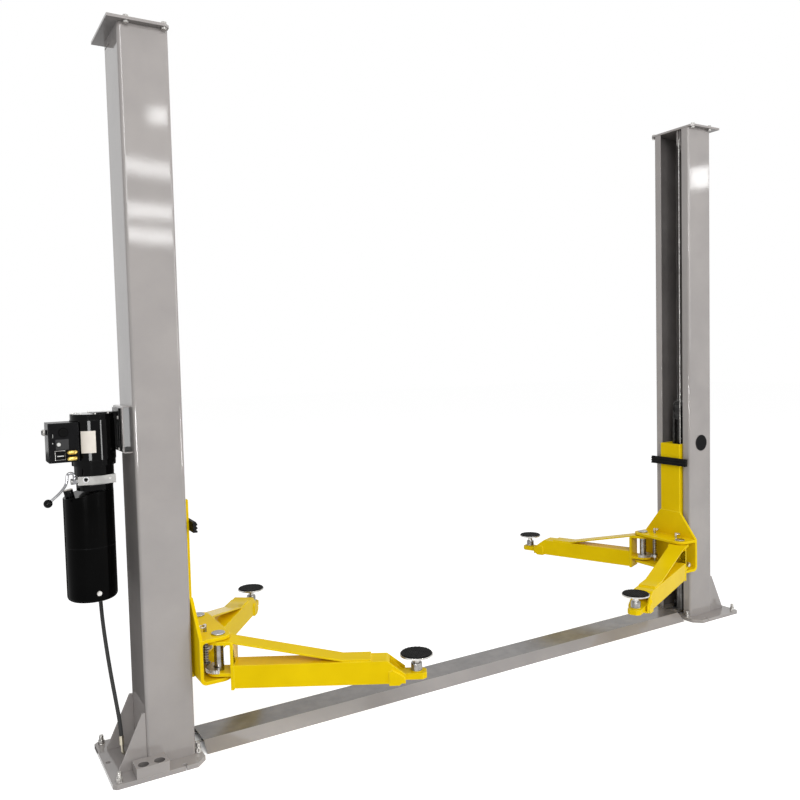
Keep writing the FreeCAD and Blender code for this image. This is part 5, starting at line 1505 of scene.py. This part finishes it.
@dataclass
class Studio:
    """Floor, light and the camera at the photograph's place."""

    floor_reach: float = 30.0
    floor_glow: float = 0.64
    shadow_reach: float = 0.16
    shadow_edges: Span = (0.15, 0.5)
    sky_light: float = 0.40
    card_x: Span = (-2.3, -1.70)
    card_y: Span = (0.13, 0.8)
    card_z: Span = (0.002, 1.16)
    eye: Point = (-2.2906, -3.1998, 1.565)
    heading: float = 30.59
    dip: float = 3.115
    lean: float = -1.39
    lens: float = 35.955
    sensor: float = 36.0

    def build(self) -> None:
        """Set up the whole studio."""
        self.floor()
        self.card()
        self.sky()
        for lamp in STUDIO_LAMPS + HALL_LAMPS + MOTOR_LAMPS:
            self.hang(lamp)
        self.camera()
        bpy.context.scene.view_settings.view_transform = "Standard"

    def floor(self) -> None:
        """A wide pale floor that keeps the lift's shadow."""
        far = self.floor_reach
        corners = [(-far, -far, 0.0), (far, -far, 0.0), (far, far, 0.0), (-far, far, 0.0)]
        plane = new_object("studio_floor", mesh_of("studio_floor", corners, faces=[(0, 1, 2, 3)]))
        material = bpy.data.materials.new("studio_floor")
        material.use_nodes = True
        wiring = Wiring(material.node_tree)
        place = wiring.add("ShaderNodeTexCoord").outputs["Object"]
        tone = wiring.mix(wiring.noise(place, 3.0, 4.0), (0.90, 0.90, 0.90), (0.87, 0.87, 0.87))
        # The floor's glow is dimmed where ambient occlusion finds the lift near: a painted shadow
        # under and beside it.
        open_sky = wiring.add("ShaderNodeAmbientOcclusion", Distance=self.shadow_reach).outputs["AO"]
        lit = wiring.maths("MULTIPLY", self.seen(wiring), wiring.spread(open_sky, *self.shadow_edges))
        wiring.set(material.node_tree.nodes["Principled BSDF"], Base_Color=tone, Roughness=0.9,
                   Specular_IOR_Level=0.0, Emission_Color=(1.0, 1.0, 1.0),
                   Emission_Strength=wiring.maths("MULTIPLY", lit, self.floor_glow))
        plane.data.materials.append(material)

    def card(self) -> None:
        """A dark card behind the lift that only shows in the gloss of the column's outer side."""
        left, right = self.card_x
        near, far = self.card_y
        low, high = self.card_z
        corners = [(left, near, low), (right, near, low), (right, far, low), (left, far, low),
                   (right, far, high), (left, far, high)]
        faces = [(0, 1, 2, 3), (3, 2, 4, 5)]
        plane = new_object("studio_card", mesh_of("studio_card", corners, faces=faces))
        plane.data.materials.append(PAINTED_DEEP_SHADE.material())
        plane.visible_camera = False
        plane.visible_diffuse = False
        plane.visible_shadow = False

    @staticmethod
    def seen(wiring: Wiring) -> Socket:
        """One where a ray comes from the camera, a mirror or glass."""
        path = wiring.add("ShaderNodeLightPath").outputs
        sharp = wiring.maths("MAXIMUM", path["Is Camera Ray"], path["Is Glossy Ray"])
        return wiring.maths("MAXIMUM", sharp, path["Is Transmission Ray"])

    def sky(self) -> None:
        """White all round for the camera, softer for the light on the lift."""
        world = bpy.data.worlds.new("studio")
        world.use_nodes = True
        bpy.context.scene.world = world
        wiring = Wiring(world.node_tree)
        lift = wiring.maths("MULTIPLY", self.seen(wiring), 1.0 - self.sky_light)
        wiring.set(world.node_tree.nodes["Background"], Color=(1.0, 1.0, 1.0),
                   Strength=wiring.maths("ADD", lift, self.sky_light))

    @staticmethod
    def hang(lamp: Lamp) -> None:
        """Hang a lamp.

        Args:
            lamp: Its place and size.
        """
        light = bpy.data.lights.new(lamp.name, "AREA")
        light.shape = "RECTANGLE"
        light.size, light.size_y = lamp.size
        light.energy = lamp.glow * math.pi * lamp.size[0] * lamp.size[1]
        hung = bpy.data.objects.new(lamp.name, light)
        hung.location = lamp.place
        aim = (Vector(lamp.target) - Vector(lamp.place)).to_track_quat("-Z", "Y")
        roll = Quaternion((0.0, 0.0, 1.0), math.radians(lamp.roll))
        hung.rotation_euler = (aim @ roll).to_euler()
        hung.visible_camera = False
        hung.visible_diffuse = not lamp.glint
        bpy.context.scene.collection.objects.link(hung)

    def camera(self) -> None:
        """Stand the camera where the photograph was taken."""
        heading, dip, lean = (math.radians(a) for a in (self.heading, self.dip, self.lean))
        ahead = Vector((math.sin(heading) * math.cos(dip), math.cos(heading) * math.cos(dip),
                        -math.sin(dip)))
        level = Vector((math.cos(heading), -math.sin(heading), 0.0))
        above = level.cross(ahead)
        right = level * math.cos(lean) + above * math.sin(lean)
        up = above * math.cos(lean) - level * math.sin(lean)
        lens = bpy.data.cameras.new("photo_camera")
        lens.lens = self.lens
        lens.sensor_width = self.sensor
        lens.sensor_height = self.sensor
        camera = bpy.data.objects.new("photo_camera", lens)
        bpy.context.scene.collection.objects.link(camera)
        axes = zip(right, up, -ahead, self.eye)
        camera.matrix_world = Matrix([tuple(row) for row in axes] + [(0.0, 0.0, 0.0, 1.0)])
        bpy.context.scene.camera = camera


def main() -> None:
    """Build every sub-assembly and the studio, in order."""
    logging.basicConfig(level=logging.INFO, format="%(name)s: %(message)s", stream=sys.stdout)
    for assembly in (Standing(), LiftGear(), Carriages(), Arms(), PowerUnit(), Studio()):
        assembly.build()


if __name__ == "__main__":
    main()
